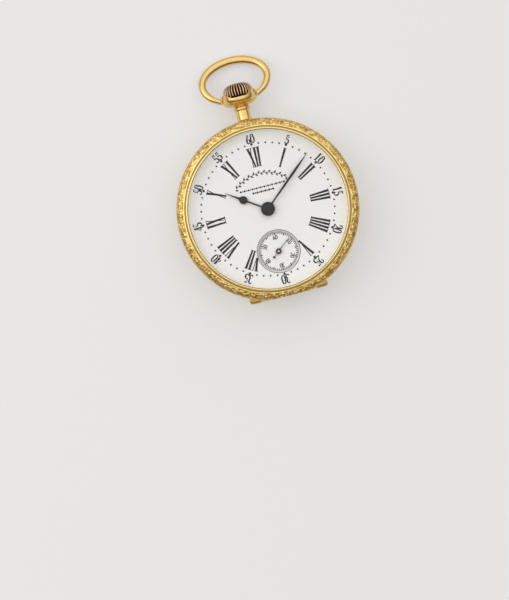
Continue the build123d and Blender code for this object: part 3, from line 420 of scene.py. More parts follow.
def middle_profile():
    """Anticlockwise section: underside, lower bead, waisted band, upper bead, snap rim, stepped bore."""
    snap = DIAL_R + 0.03
    return np.concatenate([
        line((BORE_R, Z_BAND), (LOW_R - 0.10, Z_BAND), 26),
        arc((LOW_R - 0.20, Z_BAND + 0.20), 0.20, 0.20, -90, 60, 8),
        line((LOW_R - 0.12, Z_BAND + 0.40), (WAIST_R, Z_BAND + 0.75), 5),
        line((WAIST_R, Z_BAND + 0.75), (WAIST_R + 0.02, Z_JOINT - 1.0), 24),
        line((WAIST_R + 0.02, Z_JOINT - 1.0), (CASE_R - 0.16, Z_JOINT - 0.48), 4),
        arc((CASE_R - 0.22, Z_JOINT - 0.26), 0.22, 0.22, -60, 80, 8),
        line((CASE_R - 0.2, Z_JOINT), (snap + SNAP_W, Z_JOINT), 4),
        line((snap + SNAP_W, Z_JOINT), (snap + SNAP_W, Z_JOINT + SNAP_H), 2),
        line((snap + SNAP_W, Z_JOINT + SNAP_H), (snap, Z_JOINT + SNAP_H), 2),
        line((snap, Z_JOINT + SNAP_H), (snap, Z_DIAL), 2),
        line((snap, Z_DIAL), (BORE_R, Z_DIAL), 2),
        line((BORE_R, Z_DIAL), (BORE_R, Z_PLATE), 2),
        line((BORE_R, Z_PLATE), (BORE_R - LEDGE_W, Z_PLATE), 2),
        line((BORE_R - LEDGE_W, Z_PLATE), (BORE_R - LEDGE_W, Z_PLATE - LEDGE_T), 2),
        line((BORE_R - LEDGE_W, Z_PLATE - LEDGE_T), (BORE_R, Z_PLATE - LEDGE_T), 2),
        line((BORE_R, Z_PLATE - LEDGE_T), (BORE_R, Z_BAND), 6),
    ])


def clear_channel(grid, reach):
    """Lifts points inside the hinge channel onto its round wall: z = axis + sqrt(reach^2 - dy^2)."""
    dy = np.abs(grid[..., 1] - HINGE_Y)
    wall = HINGE_Z + np.sqrt(np.clip(reach**2 - dy**2, 0, None))
    inside = (np.abs(grid[..., 0]) < HINGE_HALF + 0.1) & (dy < reach)
    grid[..., 2] = np.where(inside, np.maximum(grid[..., 2], wall), grid[..., 2])
    return grid


profile = middle_profile()
grid, angle = ring(profile, BAND_STEPS)
relief = np.full(grid.shape[:2], PLAIN_SHEEN)
band_rows = slice(39, 63)
relief[band_rows] = raise_band(grid, angle, band_rows, depth=0.10, repeats=26, width=3.4, seed=11)
grid = clear_channel(cut_flat(grid), CHANNEL_R)
add_piece("case_middle_chased", [(flat(grid), grid_faces(len(profile), BAND_STEPS, True))],
          CHASED, "case", ("case_middle",), relief=relief.ravel())

# %% [markdown]
# ## Hinge
# Seven short tubes share one pin. The first, middle and last belong to the case, two to the back and two to
# the dust cover. Each tube is a section with rounded corners carried round the pin's axis, the outermost
# ends are domed, and a small web joins each tube to its own leaf.

# %% Hinge knuckles
KNUCKLES = 7
KNUCKLE_PITCH = 2 * HINGE_HALF / KNUCKLES
PIN_R, PIN_HOLE = 0.40, 0.43    # tight in the case's tubes, free in the back's
SOFT_END, DOMED_END = 0.08, 1.0


def tube_along_x(x0, x1, outer, inner, dome0=SOFT_END, dome1=SOFT_END, segments=40):
    """Hollow tube about the hinge axis: (x, radius) with a quarter ellipse at each end, carried round it."""
    t = np.radians(np.linspace(0, 90, 8))
    drop = np.minimum((dome0, dome1), 0.36)
    start = np.column_stack([x0 + dome0 * (1 - np.cos(t)), outer - drop[0] * (1 - np.sin(t))])
    end = np.column_stack([x1 - dome1 * (1 - np.cos(t)), outer - drop[1] * (1 - np.sin(t))])
    section = np.vstack([(x0, inner), start, end[::-1], (x1, inner)])
    angle = np.linspace(0, TAU, segments, endpoint=False)
    x, r = section[:, 0][:, None], section[:, 1][:, None]
    grid = np.stack([x + 0 * angle, HINGE_Y + r * np.sin(angle), HINGE_Z + r * np.cos(angle)], axis=-1)
    return flat(grid), grid_faces(len(section), segments, True)[:, ::-1]


def slab(x0, x1, corners):
    """Bar along X whose four-cornered (y, z) section is given anticlockwise seen from +X."""
    section = np.array(corners)
    points = np.vstack([np.column_stack([np.full(4, x), section]) for x in (x0, x1)])
    faces = [[3, 2, 1, 0], [4, 5, 6, 7]] + [[j, j + 4, i + 4, i] for i, j in ((0, 1), (1, 2), (2, 3), (3, 0))]
    return points, np.array(faces)


def knuckle_span(index):
    """Start and end of one knuckle along the pin."""
    start = -HINGE_HALF + index * KNUCKLE_PITCH
    return start + 0.03, start + KNUCKLE_PITCH - 0.03


parts = []
for index in (0, 3, 6):
    x0, x1 = knuckle_span(index)
    parts.append(tube_along_x(x0, x1, TUBE_R, PIN_R, SOFT_END if index else DOMED_END,
                              SOFT_END if index < KNUCKLES - 1 else DOMED_END))
    web = [(HINGE_Y - 0.10, HINGE_Z + 0.45), (HINGE_Y + 1.20, HINGE_Z + 0.30),
           (HINGE_Y + 1.20, HINGE_Z + 0.90), (HINGE_Y + 0.10, HINGE_Z + 0.85)]
    parts.append(slab(x0, x1, web))
# The knuckles store half the plain parts' relief, so they take a darker gold: painted shade under the case.
add_piece("hinge_knuckles_case", parts, CHASED, "case",
          relief=np.full(sum(len(points) for points, _ in parts), PLAIN_SHEEN / 2))

# %% [markdown]
# ## Back cover
# The watch lies on its back, which is flat in the middle and rolls up to the rim. The centre is engine
# turned: a lathe with a rocking head cuts rings that wave in and out. A plain shield is left for initials,
# which stays empty here. The rolled part carries the same chased scroll as the band. All of it is cut into
# the gold, so the resting face stays where it is.

# %% Back cover
FLAT_R = 13.0                    # flat the watch lies on
BACK_T = 0.40                    # wall of the flat
RIM_W = 0.45                     # width of the closing edge
RIM_Z = HINGE_Z - 0.10
BACK_EDGE = CASE_R - 0.40
LEAF_CUT = HINGE_Y + TUBE_R + 0.10
BACK_STEPS = 588
RING_PITCH = 0.62                # engine-turned rings
LOBES, ROCK = 24, 0.16           # waves in a turn and how far they rock
CUT_DEPTH = 0.10


def climb(r0, z0, r1, z1, count):
    """Arc tangent to a flat at (r0, z0) that ends at (r1, z1): radius = (dr^2 + dz^2) / (2 dz)."""
    dr, dz = r1 - r0, z1 - z0
    radius = (dr**2 + dz**2) / (2 * dz)
    turn = atan2(dr, radius - dz)
    t = np.linspace(0, turn, count, endpoint=False)
    return np.stack([r0 + radius * np.sin(t), z0 + radius * (1 - np.cos(t))], axis=-1)


def shield(x, y):
    """Signed size of a heater shield: negative inside, in millimetres to its border."""
    top = y - 3.4
    side = np.abs(x) - 3.0 * np.sqrt(np.clip((y + 4.2) / 7.6, 0, 1))
    point = -4.2 - y
    return np.maximum(np.maximum(top, side), point)


def engine_turned(x, y):
    """Depth 0 to 1 of the cut: even rings whose radius rocks as they turn, and a shield left plain."""
    r, turn = np.hypot(x, y), np.arctan2(y, x)
    rock = ROCK * np.cos(LOBES * turn) * np.clip(r / 6, 0, 1)
    rings = 0.5 + 0.5 * np.cos(TAU * (r + rock) / RING_PITCH)
    edge = np.clip((FLAT_R - 1.2 - r) / 0.3, 0, 1)
    inside = shield(x, y)
    plain = np.clip(inside / 0.25, 0, 1)
    border = np.exp(-((inside - 0.30) / 0.16) ** 2)
    return np.maximum(rings * plain * edge, border)


back_rows = np.concatenate([
    line((0.0, 0.0), (FLAT_R, 0.0), 100), climb(FLAT_R, 0.0, BACK_EDGE, RIM_Z, 44)])
inner_rows = np.concatenate([
    [(BACK_EDGE, RIM_Z)], [(BACK_EDGE - RIM_W, RIM_Z)],
    climb(FLAT_R, BACK_T, BACK_EDGE - RIM_W, RIM_Z, 16)[::-1], [(0.0, BACK_T)]])
profile = np.concatenate([back_rows, inner_rows])
grid, angle = ring(profile, BACK_STEPS)
flat_rows = slice(0, 98)
cut = engine_turned(grid[flat_rows, :, 0], grid[flat_rows, :, 1])
grid[flat_rows, :, 2] += CUT_DEPTH * cut
relief = np.full(grid.shape[:2], PLAIN_SHEEN)
# Lower relief in the engine-turned cuts darkens them: painted shade in the grooves.
relief[flat_rows] = 1 - 0.8 * cut
band_rows = slice(104, 142)
relief[band_rows] = raise_band(grid, angle, band_rows, depth=0.14, repeats=17, width=4.6, seed=23)
grid[..., 1] = np.maximum(grid[..., 1], LEAF_CUT)
parts = [(flat(grid), grid_faces(len(profile), BACK_STEPS))]
for index in (1, 5):
    x0, x1 = knuckle_span(index)
    web = [(HINGE_Y, 1.95), (LEAF_CUT + 0.10, 1.75), (LEAF_CUT + 0.10, RIM_Z - 0.2), (HINGE_Y, RIM_Z - 0.2)]
    parts += [tube_along_x(x0, x1, TUBE_R, PIN_HOLE), slab(x0, x1, web)]
thumb = np.array([(BACK_EDGE - 0.5, RIM_Z - 0.02), (BACK_EDGE - 0.5, RIM_Z - 0.30),
                  (BACK_EDGE + 0.10, RIM_Z - 0.28), (BACK_EDGE + 0.15, RIM_Z - 0.15),
                  (BACK_EDGE + 0.10, RIM_Z - 0.02)])
lip, _ = ring(thumb, 24, radians(26), radians(38))
parts.append((flat(lip), grid_faces(len(thumb), 24, True, False)))
extra = sum(len(points) for points, _ in parts[1:])
add_piece("back_cover_engraved", parts, CHASED, "back", ("back_cover",),
          relief=np.concatenate([relief.ravel(), np.full(extra, PLAIN_SHEEN)]), merge=0.0002)

# %% [markdown]
# ## Crystal
# The crystal is a flat disc of mineral glass with a bevelled edge, held in a groove under the bezel's lip.
# Light that only passes on to the dial goes straight through it, as it does in life when there is so little
# of it. Its index is set below the 1.52 of window glass, because one soft lamp leaves fewer bright glints on
# it than a room full of windows.

# %% Glass


def clear_glass():
    """Mineral glass: a sharp reflection on top, and a straight way through for light going to the dial."""
    material, tree = new_finish("mineral_crystal")
    glass = add_node(tree, "ShaderNodeBsdfPrincipled", {
        "Base Color": colour("#FBFDFD"), "Roughness": 0.02, "IOR": 1.30, "Transmission Weight": 1.0})
    passing = add_node(tree, "ShaderNodeBsdfTransparent", {"Color": colour("#FAFBFB")})
    path = add_node(tree, "ShaderNodeLightPath")
    either = add_node(tree, "ShaderNodeMath", {
        0: path.outputs["Is Shadow Ray"], 1: path.outputs["Is Diffuse Ray"]}, operation="MAXIMUM")
    mix = add_node(tree, "ShaderNodeMixShader",
                   {"Fac": either.outputs["Value"], 1: glass.outputs["BSDF"], 2: passing.outputs["BSDF"]})
    show(tree, mix.outputs["Shader"])
    return material


GLASS = clear_glass()
edge_z = Z_GLASS + 0.35
BEVEL_IN = 1.10          # inner end of the bevel, from the bezel's opening
profile = np.concatenate([
    line((0, Z_GLASS), (GLASS_R, Z_GLASS), 4),
    line((GLASS_R, Z_GLASS), (GLASS_R, edge_z), 2),
    line((GLASS_R, edge_z), (VIEW_R - 0.02, edge_z), 2),
    line((VIEW_R - 0.02, edge_z), (VIEW_R - 0.10, edge_z + 0.12), 2),
    line((VIEW_R - 0.10, edge_z + 0.12), (VIEW_R - BEVEL_IN, Z_GLASS_TOP), 6),
    [(VIEW_R - BEVEL_IN, Z_GLASS_TOP)], [(0, Z_GLASS_TOP)]])
grid, _ = ring(profile, 360)
add_piece("crystal_disc", [(flat(grid), grid_faces(len(profile), 360))], GLASS, "case",
          ("crystal",), sharp=12)

# %% [markdown]
# ## Dial
# White enamel, fired on copper, with a sunk seconds dial. The print is a thin layer of black enamel on the
# white. Every mark is a ribbon: a path with a width at each point, given a thickness of two hundredths of a
# millimetre. A ribbon is all that's needed for a didone figure, whose strokes swell and thin like a pen's.

# %% Enamel and print finishes


def enamel(name, hex_text, rough, gloss=0.4):
    """Fired enamel: glassy colour, with as much gloss as its surface keeps under the crystal."""
    material, tree = new_finish(name)
    shader = add_node(tree, "ShaderNodeBsdfPrincipled", {
        "Base Color": colour(hex_text), "Roughness": rough, "Specular IOR Level": gloss})
    show(tree, shader.outputs["BSDF"])
    return material


WHITE = enamel("white_vitreous_enamel", "#FCF8FA", 0.35)
# The step into the seconds dial is white enamel given a lilac grey: painted shade.
STEP = enamel("sunk_step_enamel_painted_shade", "#E2DEE1", 0.4)
BLACK = enamel("black_enamel_print", "#08060A", 0.55, 0.15)
GREY = enamel("fine_grey_print", "#28242B", 0.55, 0.15)

PRINT_T = 0.02


def ribbon(path, width, level, thick=PRINT_T):
    """Flat strip along a path of (x, y) with a width at each point, lying on a level."""
    path = np.array(path, float)
    width = np.broadcast_to(np.array(width, float), len(path))
    along = np.gradient(path, axis=0)
    along /= np.maximum(np.linalg.norm(along, axis=1), 1e-9)[:, None]
    side = np.column_stack([-along[:, 1], along[:, 0]]) * width[:, None] / 2
    low, high = np.full(len(path), level), np.full(len(path), level + thick)
    rows = [np.column_stack([path - side, low]), np.column_stack([path - side, high]),
            np.column_stack([path + side, high]), np.column_stack([path + side, low])]
    count = len(path)
    corner = np.arange(4) * count
    ends = np.array([corner, corner[::-1] + count - 1])
    return np.concatenate(rows), np.vstack([grid_faces(4, count, True, False), ends])


def ring_line(radius, width, level, centre=(0, 0), first=0.0, last=360.0, segments=240):
    """Thin printed circle or arc."""
    turn = np.radians(np.linspace(first, last, segments))
    path = np.column_stack([centre[0] + radius * np.cos(turn), centre[1] + radius * np.sin(turn)])
    return ribbon(path, width, level)


def dot(x, y, size, level, turn=0.0):
    """A lozenge: a ribbon that swells from a point and back."""
    t = np.array([-1.0, 0.0, 1.0])[:, None] * size / 2
    return ribbon(np.array([x, y]) + t * np.array([cos(turn), sin(turn)]), [0.02, size, 0.02], level)


# %% [markdown]
# The figures 0 to 6 are drawn once, one unit high, as swelling strokes. A number is set with its foot
# towards the centre of the dial, so it's turned with its place on the ring.

# %% Didone figures


def bow_stroke(centre, a, b, first, last, thin, thick, count=22):
    """Part of an ellipse: the stroke is thick where it runs up and down, thin where it turns over."""
    t = np.radians(np.linspace(first, last, count))
    path = np.column_stack([centre[0] + a * np.cos(t), centre[1] + b * np.sin(t)])
    return path, thin + (thick - thin) * np.abs(np.cos(t)) ** 1.5


def straight(start, end, width):
    """A plain stroke."""
    return np.array([start, end], float), np.array([width, width], float)


FIGURES = {
    "0": [bow_stroke((0.30, 0.50), 0.23, 0.46, -90, 270, 0.11, 0.20, 40)],
    "1": [straight((0.26, 0.02), (0.26, 0.98), 0.20), straight((0.08, 0.80), (0.26, 0.95), 0.09),
          straight((0.08, 0.03), (0.44, 0.03), 0.09)],
    "2": [bow_stroke((0.30, 0.68), 0.20, 0.28, 170, -60, 0.11, 0.20),
          straight((0.40, 0.44), (0.08, 0.08), 0.10), straight((0.06, 0.08), (0.52, 0.08), 0.15)],
    "3": [bow_stroke((0.28, 0.72), 0.17, 0.24, 160, -90, 0.11, 0.19),
          bow_stroke((0.27, 0.26), 0.21, 0.25, 90, -160, 0.11, 0.20)],
    "4": [straight((0.40, 0.02), (0.40, 0.98), 0.19), straight((0.40, 0.96), (0.04, 0.30), 0.09),
          straight((0.02, 0.28), (0.56, 0.28), 0.10)],
    "5": [straight((0.12, 0.91), (0.48, 0.91), 0.14), straight((0.13, 0.92), (0.10, 0.52), 0.08),
          bow_stroke((0.25, 0.32), 0.24, 0.29, 130, -160, 0.11, 0.20)],
    "6": [bow_stroke((0.30, 0.28), 0.21, 0.25, 0, 360, 0.11, 0.19, 36),
          bow_stroke((0.52, 0.34), 0.44, 0.62, 180, 105, 0.11, 0.18)],
}


def number(text, place, height, direction, level, centre=(0, 0), squeeze=0.92):
    """Figures set upright on a ring: foot towards the centre, middle at the ring's radius."""
    pitch = 0.60 * squeeze
    turn = radians(direction)
    out = np.array([cos(turn), sin(turn)])
    across = np.array([sin(turn), -cos(turn)])
    pieces = []
    for index, figure in enumerate(text):
        shift = (index - len(text) / 2) * pitch
        for path, width in FIGURES[figure]:
            u = (path[:, 0] * squeeze + shift) * height
            v = (path[:, 1] - 0.5) * height
            spot = np.array(centre) + out * (place + v[:, None]) + across * u[:, None]
            pieces.append(ribbon(spot, width * height, level))
    return pieces


# %% [markdown]
# Hours are Roman, with four strokes for four. Their strokes point at the centre, so they spread outward like
# the spokes of a fan. The six gives way to the seconds dial, and the last stroke of the seven is cut short
# by it.

# %% Hour numerals
HOUR_FOOT, HOUR_TOP = 9.15, 13.15
HOUR_MIDDLE = (HOUR_FOOT + HOUR_TOP) / 2
THICK, THIN, SERIF = 0.42, 0.15, 0.12
HOURS = ["XII", "I", "II", "III", "IIII", "V", "", "VII", "VIII", "IX", "X", "XI"]
LETTER_W = {"I": 0.63, "V": 1.22, "X": 1.16}
SUB_RIM = 4.60           # marks whose foot is nearer the seconds axis are cut short
CUT_SHARE = 0.30


def fan(u, v, direction):
    """From across (mm at mid height) and share of height to a spot on the dial."""
    r = HOUR_FOOT + (HOUR_TOP - HOUR_FOOT) * np.asarray(v)
    turn = radians(direction) - np.asarray(u) / HOUR_MIDDLE
    return np.column_stack([r * np.cos(turn), r * np.sin(turn)])


def letter(kind, shift, direction, top=0.0):
    """Strokes of I, V or X as ribbons, each with its serifs; top is the share cut away at the foot."""
    v = np.linspace(top, 1, 5)
    spread = (HOUR_FOOT + (HOUR_TOP - HOUR_FOOT) * v) / HOUR_MIDDLE
    half = LETTER_W[kind] / 2 - 0.30
    strokes = {"I": [(0, 0, THICK)], "V": [(half * 0.1, -half, THICK), (half * 0.1, half, THIN)],
               "X": [(half, -half, THICK), (-half, half, THIN)]}[kind]
    pieces = []
    for foot, head, width in strokes:
        u = shift + foot + (head - foot) * v
        pieces.append(ribbon(fan(u, v, direction), width * spread, Z_FACE))
        for where, share, joined in ((head, 1.0, True), (foot, top, kind != "V")):
            if joined:
                wide = width / 2 + 0.10
                bar_u = shift + where + np.array([-wide, 0, wide])
                pieces.append(ribbon(fan(bar_u, [share] * 3, direction), SERIF, Z_FACE))
    return pieces


print_pieces = []
for hour, numeral in enumerate(HOURS):
    direction = 90 - 30 * hour
    shift = -sum(LETTER_W[k] for k in numeral) / 2
    for index, kind in enumerate(numeral):
        shift += LETTER_W[kind] / 2
        spot = fan([shift], [0.0], direction)[0]
        near = hypot(spot[0], spot[1] - SUB_Y)
        cut = 0.0 if near > SUB_RIM else CUT_SHARE
        print_pieces += letter(kind, shift, direction, cut)
        shift += LETTER_W[kind] / 2
print("numeral strokes:", len(print_pieces))

# %% [markdown]
# Round the hours run sixty minute dots, a lozenge at every fifth, and the minutes in figures. Above the
# centre, where a watch usually carries words, this one carries an ornament: a garland of leaves and two rows
# of dots.

# %% Minute ring, ornament and seconds dial
MINUTE_R, FIGURE_R, FIGURE_H = 13.90, 14.90, 1.62
DOT_FIVE, DOT_MINUTE = 0.66, 0.46
GARLAND_R, LEAVES, LEAF_OFF = 7.70, 23, 0.24
BEAD_STEP = 0.42
for minute in range(60):
    turn = radians(90 - 6 * minute)
    big = minute % 5 == 0
    x, y = MINUTE_R * cos(turn), MINUTE_R * sin(turn)
    print_pieces.append(dot(x, y, DOT_FIVE if big else DOT_MINUTE, Z_FACE, turn))
    if big:
        print_pieces += number(str(minute or 60), FIGURE_R, FIGURE_H, degrees(turn), Z_FACE)

ornament = [ring_line(GARLAND_R, 0.09, Z_FACE, first=45, last=135, segments=60)]
leaf_width = 0.34 * np.cos(np.linspace(-1.45, 1.45, 7))
leaf_run = np.linspace(-0.34, 0.34, 7)[:, None]
for step in range(LEAVES):
    direction = 135 - step * 90 / (LEAVES - 1)
    turn = radians(direction)
    lean = radians(direction - 90 + (50 if step % 2 else -50))
    spot = (GARLAND_R + (LEAF_OFF if step % 2 else -LEAF_OFF)) * np.array([cos(turn), sin(turn)])
    ornament.append(ribbon(spot + leaf_run * np.array([cos(lean), sin(lean)]), leaf_width, Z_FACE))
for row_y, reach, small, large in ((4.76, 11, 0.34, 0.52), (3.88, 5, 0.38, 0.58)):
    for step in range(-reach, reach + 1):
        ornament.append(dot(step * BEAD_STEP, row_y, large if step % 2 else small, Z_FACE))

sub = (0.0, SUB_Y)
TRACK_R = 3.92           # outer end of the seconds strokes
seconds_print = [ring_line(4.50, 0.11, Z_FACE, sub), ring_line(4.08, 0.06, Z_SUB, sub),
                 ring_line(TRACK_R, 0.08, Z_SUB, sub)]
for second in range(60):
    turn = radians(90 - 6 * second)
    five = second % 5 == 0
    path = [np.array(sub) + r * np.array([cos(turn), sin(turn)]) for r in (3.46 if five else 3.58, TRACK_R)]
    seconds_print.append(ribbon(path, 0.26 if five else 0.15, Z_SUB))
    if second % 10 == 0:
        seconds_print += number(str(second or 60), 2.98, 0.92, degrees(turn), Z_SUB, sub)

add_piece("dial_print_black", print_pieces, BLACK, "case", merge=0.00001)
add_piece("dial_print_garland", ornament, GREY, "case", merge=0.00001)
add_piece("dial_print_seconds", seconds_print, GREY, "case", merge=0.00001)

# The well's sloped wall takes the painted shade colour.
well = np.array([(4.10, Z_SUB - 0.02), (4.47, Z_FACE - 0.10), (4.47, Z_FACE + 0.012), (4.40, Z_FACE + 0.012),
                 (4.16, Z_SUB + 0.02), (4.10, Z_SUB + 0.01)])
grid, _ = ring(well, 240)
grid[..., 1] += SUB_Y
add_piece("dial_seconds_well", [(flat(grid), grid_faces(len(well), 240, True))], STEP, "case")

# %% [markdown]
# ## Hands
# Spade hands of blackened steel. Each is a ribbon with a ridge along its middle and both ends drawn to a
# point, so it catches one long line of light. The round bosses are turned, and the seconds hand is let down
# to brown.

# %% Hands


def worn_steel(name, hex_text, rough):
    """Tempered or blackened steel under a polish."""
    material, tree = new_finish(name)
    shader = add_node(tree, "ShaderNodeBsdfPrincipled", {
        "Base Color": colour(hex_text), "Metallic": 0.5, "Roughness": rough, "Specular IOR Level": 0.3})
    show(tree, shader.outputs["BSDF"])
    return material


HAND_BLACK = worn_steel("blackened_hand_steel", "#0A080B", 0.34)
HAND_BROWN = worn_steel("brown_tempered_steel", "#4A3026", 0.35)
BRIGHT = worn_steel("polished_steel_pin", "#C9C6C4", 0.2)


def blade(stations, direction, level, thick, ridge, centre=(0, 0)):
    """Hand outline from (distance, width) stations, turned clockwise from twelve, with a middle ridge."""
    distance, width = np.array(stations, float).T
    fine = np.unique(np.concatenate([distance, np.linspace(distance[0], distance[-1], 90)]))
    wide = np.interp(fine, distance, width)
    shut = np.clip(np.minimum(fine - fine[0], fine[-1] - fine) / 0.12, 0, 1)
    wide *= shut
    turn = radians(90 - direction)
    out, left = np.array([cos(turn), sin(turn)]), np.array([-sin(turn), cos(turn)])
    path = np.array(centre) + fine[:, None] * out
    low = level + thick * 0.5 * (1 - shut)
    high = low + thick * shut
    top = high + ridge * np.clip(wide / 0.5, 0, 1.6) * shut
    slope = high + 0.7 * (top - high)
    rows = [(-0.5, low), (-0.5, high), (-0.22, slope), (0, top), (0.22, slope), (0.5, high), (0.5, low)]
    grid = np.stack([np.column_stack([path + share * wide[:, None] * left, z]) for share, z in rows])
    return flat(grid), grid_faces(len(rows), len(fine), True, False)


def turned_piece(profile, segments=96, centre=(0, 0)):
    """Lathe work about an upright axis through a point of the dial."""
    grid, _ = ring(np.array(profile, float), segments)
    grid[..., :2] += np.array(centre)
    return flat(grid), grid_faces(len(profile), segments)


def boss(radius, level, thick, round_off=0.05):
    """Flat round boss with softened edges."""
    return [(0, level), (radius, level), (radius, level + thick - round_off),
            (radius - round_off, level + thick), (0, level + thick)]


def domed(radius, level, height):
    """Turned dome on a foot."""
    t = np.radians(np.linspace(0, 90, 10))
    curve = [(radius * np.cos(a), level + 0.06 + (height - 0.06) * np.sin(a)) for a in t]
    return [(0, level), (radius, level)] + curve


Z_HOUR, Z_MINUTE = box_mm("hour_hand")[0][2], box_mm("minute_hand")[0][2]
Z_SECONDS = box_mm("seconds_hand")[0][2]
HAND_T, CAP_TOP = 0.15, box_mm("minute_hand")[1][2]
MINUTE_DEG, HOUR_DEG, SECONDS_DEG = 49.2, 304.1, 50.3

minute_blade = [(0.4, 0.36), (3.0, 0.36), (9.4, 0.54), (11.5, 0.40), (14.3, 0.06)]
add_piece("minute_hand_black", [
    blade(minute_blade, MINUTE_DEG, Z_MINUTE, HAND_T * 0.7, 0.05),
    turned_piece(boss(1.47, Z_MINUTE, HAND_T)),
    turned_piece(domed(1.0, Z_MINUTE + HAND_T, CAP_TOP - Z_MINUTE - HAND_T)),
], HAND_BLACK, "center", ("minute_hand",))
pear = [(5.4 + 0.86 * cos(a), 2 * 0.84 * sin(a)) for a in np.radians(np.linspace(168, 40, 14))]
hour_blade = [(0.4, 0.34), (4.3, 0.32)] + pear + [(6.45, 0.46), (7.6, 0.28), (9.6, 0.05)]
add_piece("hour_hand_black", [
    blade(hour_blade, HOUR_DEG, Z_HOUR, HAND_T * 0.7, 0.06),
    turned_piece(boss(1.44, Z_HOUR, HAND_T)),
], HAND_BLACK, "hour", ("hour_hand",))
ball = [(-1.84 - 0.02 + 0.27 * (1 - cos(a)), 0.54 * sin(a)) for a in np.radians(np.linspace(12, 165, 10))]
seconds_blade = ball + [(-1.25, 0.10), (0, 0.20), (3.7, 0.06)]
add_piece("seconds_hand_brown", [
    blade(seconds_blade, SECONDS_DEG, Z_SECONDS, HAND_T * 0.6, 0.03, (0, SUB_Y)),
    turned_piece(boss(0.62, Z_SECONDS, HAND_T), 64, (0, SUB_Y)),
], HAND_BROWN, "seconds", ("seconds_hand",))
add_piece("seconds_pin", [turned_piece(domed(0.20, Z_SECONDS + HAND_T, 0.08), 32, (0, SUB_Y))],
          BRIGHT, "seconds")

# %% [markdown]
# ## Pendant, crown and bow
# The pendant is turned about the stem: a flared foot on the band, a neck, a bead, and a cup whose rim is
# scooped away front and back so the fingers reach the crown. The crown has thirty narrow ribs with wide
# grooves between them. The bow is a round wire, thickest at its top, bent to two half ellipses and carried
# by a screw at each end.

# %% Pendant, crown and bow
CUP_R, CUP_H, CUP_WALL = box_mm("pendant")[1][0], 2.10, 0.58
NECK_R, BEAD_R, FLARE_R = 1.45, 1.62, 1.95
STEM_HOLE, SLEEVE_HOLE = 0.80, 1.18
CUP_FLOOR = CROWN_Y0 - 0.15
CUP_Y = CUP_FLOOR - CUP_H + 0.75
SLEEVE_END = CUP_Y - 2.2
LOBE_TOP = PIVOT_Y + 0.75


def stem_turned(profile, segments, radius=lambda r, y, turn: r):
    """A section of (radius, y) carried round the stem: x = r sin a, z = stem + r cos a."""
    turn = np.linspace(0, TAU, segments, endpoint=False)
    r = radius(profile[:, 0][:, None], profile[:, 1][:, None], turn[None, :])
    y = profile[:, 1][:, None] + 0 * turn
    return np.stack([r * np.sin(turn), y, STEM_Z + r * np.cos(turn)], axis=-1), turn


foot_y = CASE_R - 0.75
profile = np.concatenate([
    line((STEM_HOLE, foot_y), (FLARE_R, foot_y), 3),
    line((FLARE_R, foot_y), (FLARE_R, CASE_R + 0.02), 4),
    line((FLARE_R, CASE_R + 0.02), (NECK_R + 0.12, CASE_R + 0.42), 6),
    line((NECK_R + 0.12, CASE_R + 0.42), (NECK_R, CASE_R + 1.0), 5),
    line((NECK_R, CASE_R + 1.0), (NECK_R, CUP_Y - 1.45), 6),
    arc((NECK_R - 0.10, CUP_Y - 0.95), BEAD_R - NECK_R + 0.22, 0.46, -80, 80, 16),
    line((NECK_R, CUP_Y - 0.46), (NECK_R, CUP_Y - 0.40), 3),
    arc((NECK_R + 0.1, CUP_Y + 1.15), CUP_R - NECK_R - 0.1, 1.50, -88, 0, 24),
    line((CUP_R, CUP_Y + 1.15), (CUP_R, CUP_Y + CUP_H - 0.25), 8),
    arc((CUP_R - 0.24, CUP_Y + CUP_H - 0.24), 0.24, 0.24, 0, 90, 6),
    line((CUP_R - 0.24, CUP_Y + CUP_H), (CUP_R - CUP_WALL, CUP_Y + CUP_H), 3),
    line((CUP_R - CUP_WALL, CUP_Y + CUP_H), (CUP_R - CUP_WALL, CUP_FLOOR), 6),
    line((CUP_R - CUP_WALL, CUP_FLOOR), (SLEEVE_HOLE, CUP_FLOOR), 4),
    line((SLEEVE_HOLE, CUP_FLOOR), (SLEEVE_HOLE, SLEEVE_END), 4),
    line((SLEEVE_HOLE, SLEEVE_END), (STEM_HOLE, SLEEVE_END), 2),
    line((STEM_HOLE, SLEEVE_END), (STEM_HOLE, foot_y), 4),
])
grid, turn = stem_turned(profile, 192)
lobe = np.clip((np.abs(np.sin(turn)) - 0.35) / 0.55, 0, 1)
rim = CUP_FLOOR + 0.04 + (LOBE_TOP - CUP_FLOOR - 0.04) * lobe**2 * (3 - 2 * lobe)
WALL_FOOT = CUP_FLOOR - 0.3
from_stem = np.hypot(grid[..., 0], grid[..., 2] - STEM_Z)
in_wall = (grid[..., 1] > WALL_FOOT) & (from_stem > CUP_R - CUP_WALL - 0.01)
share = (grid[..., 1] - WALL_FOOT) / (CUP_Y + CUP_H - WALL_FOOT)
grid[..., 1] = np.where(in_wall, WALL_FOOT + share * (rim - WALL_FOOT), grid[..., 1])
add_piece("pendant_cup", [(flat(grid), grid_faces(len(profile), 192, True))], GOLD, "case",
          ("pendant",), merge=0.0002)

RIBS, RIB_DEPTH = 30, 0.26


def rib(turn):
    """Height of the crown's ribs round the stem: narrow rounded tops with wide grooves."""
    return (0.5 + 0.5 * np.cos(RIBS * turn)) ** 1.2


def fluted(r, y, turn):
    """Radius of the crown: grooves fade out where it closes over the top and under the foot."""
    depth = RIB_DEPTH * np.clip((r - 0.9) / 1.2, 0, 1)
    return r - depth * (1 - rib(turn))


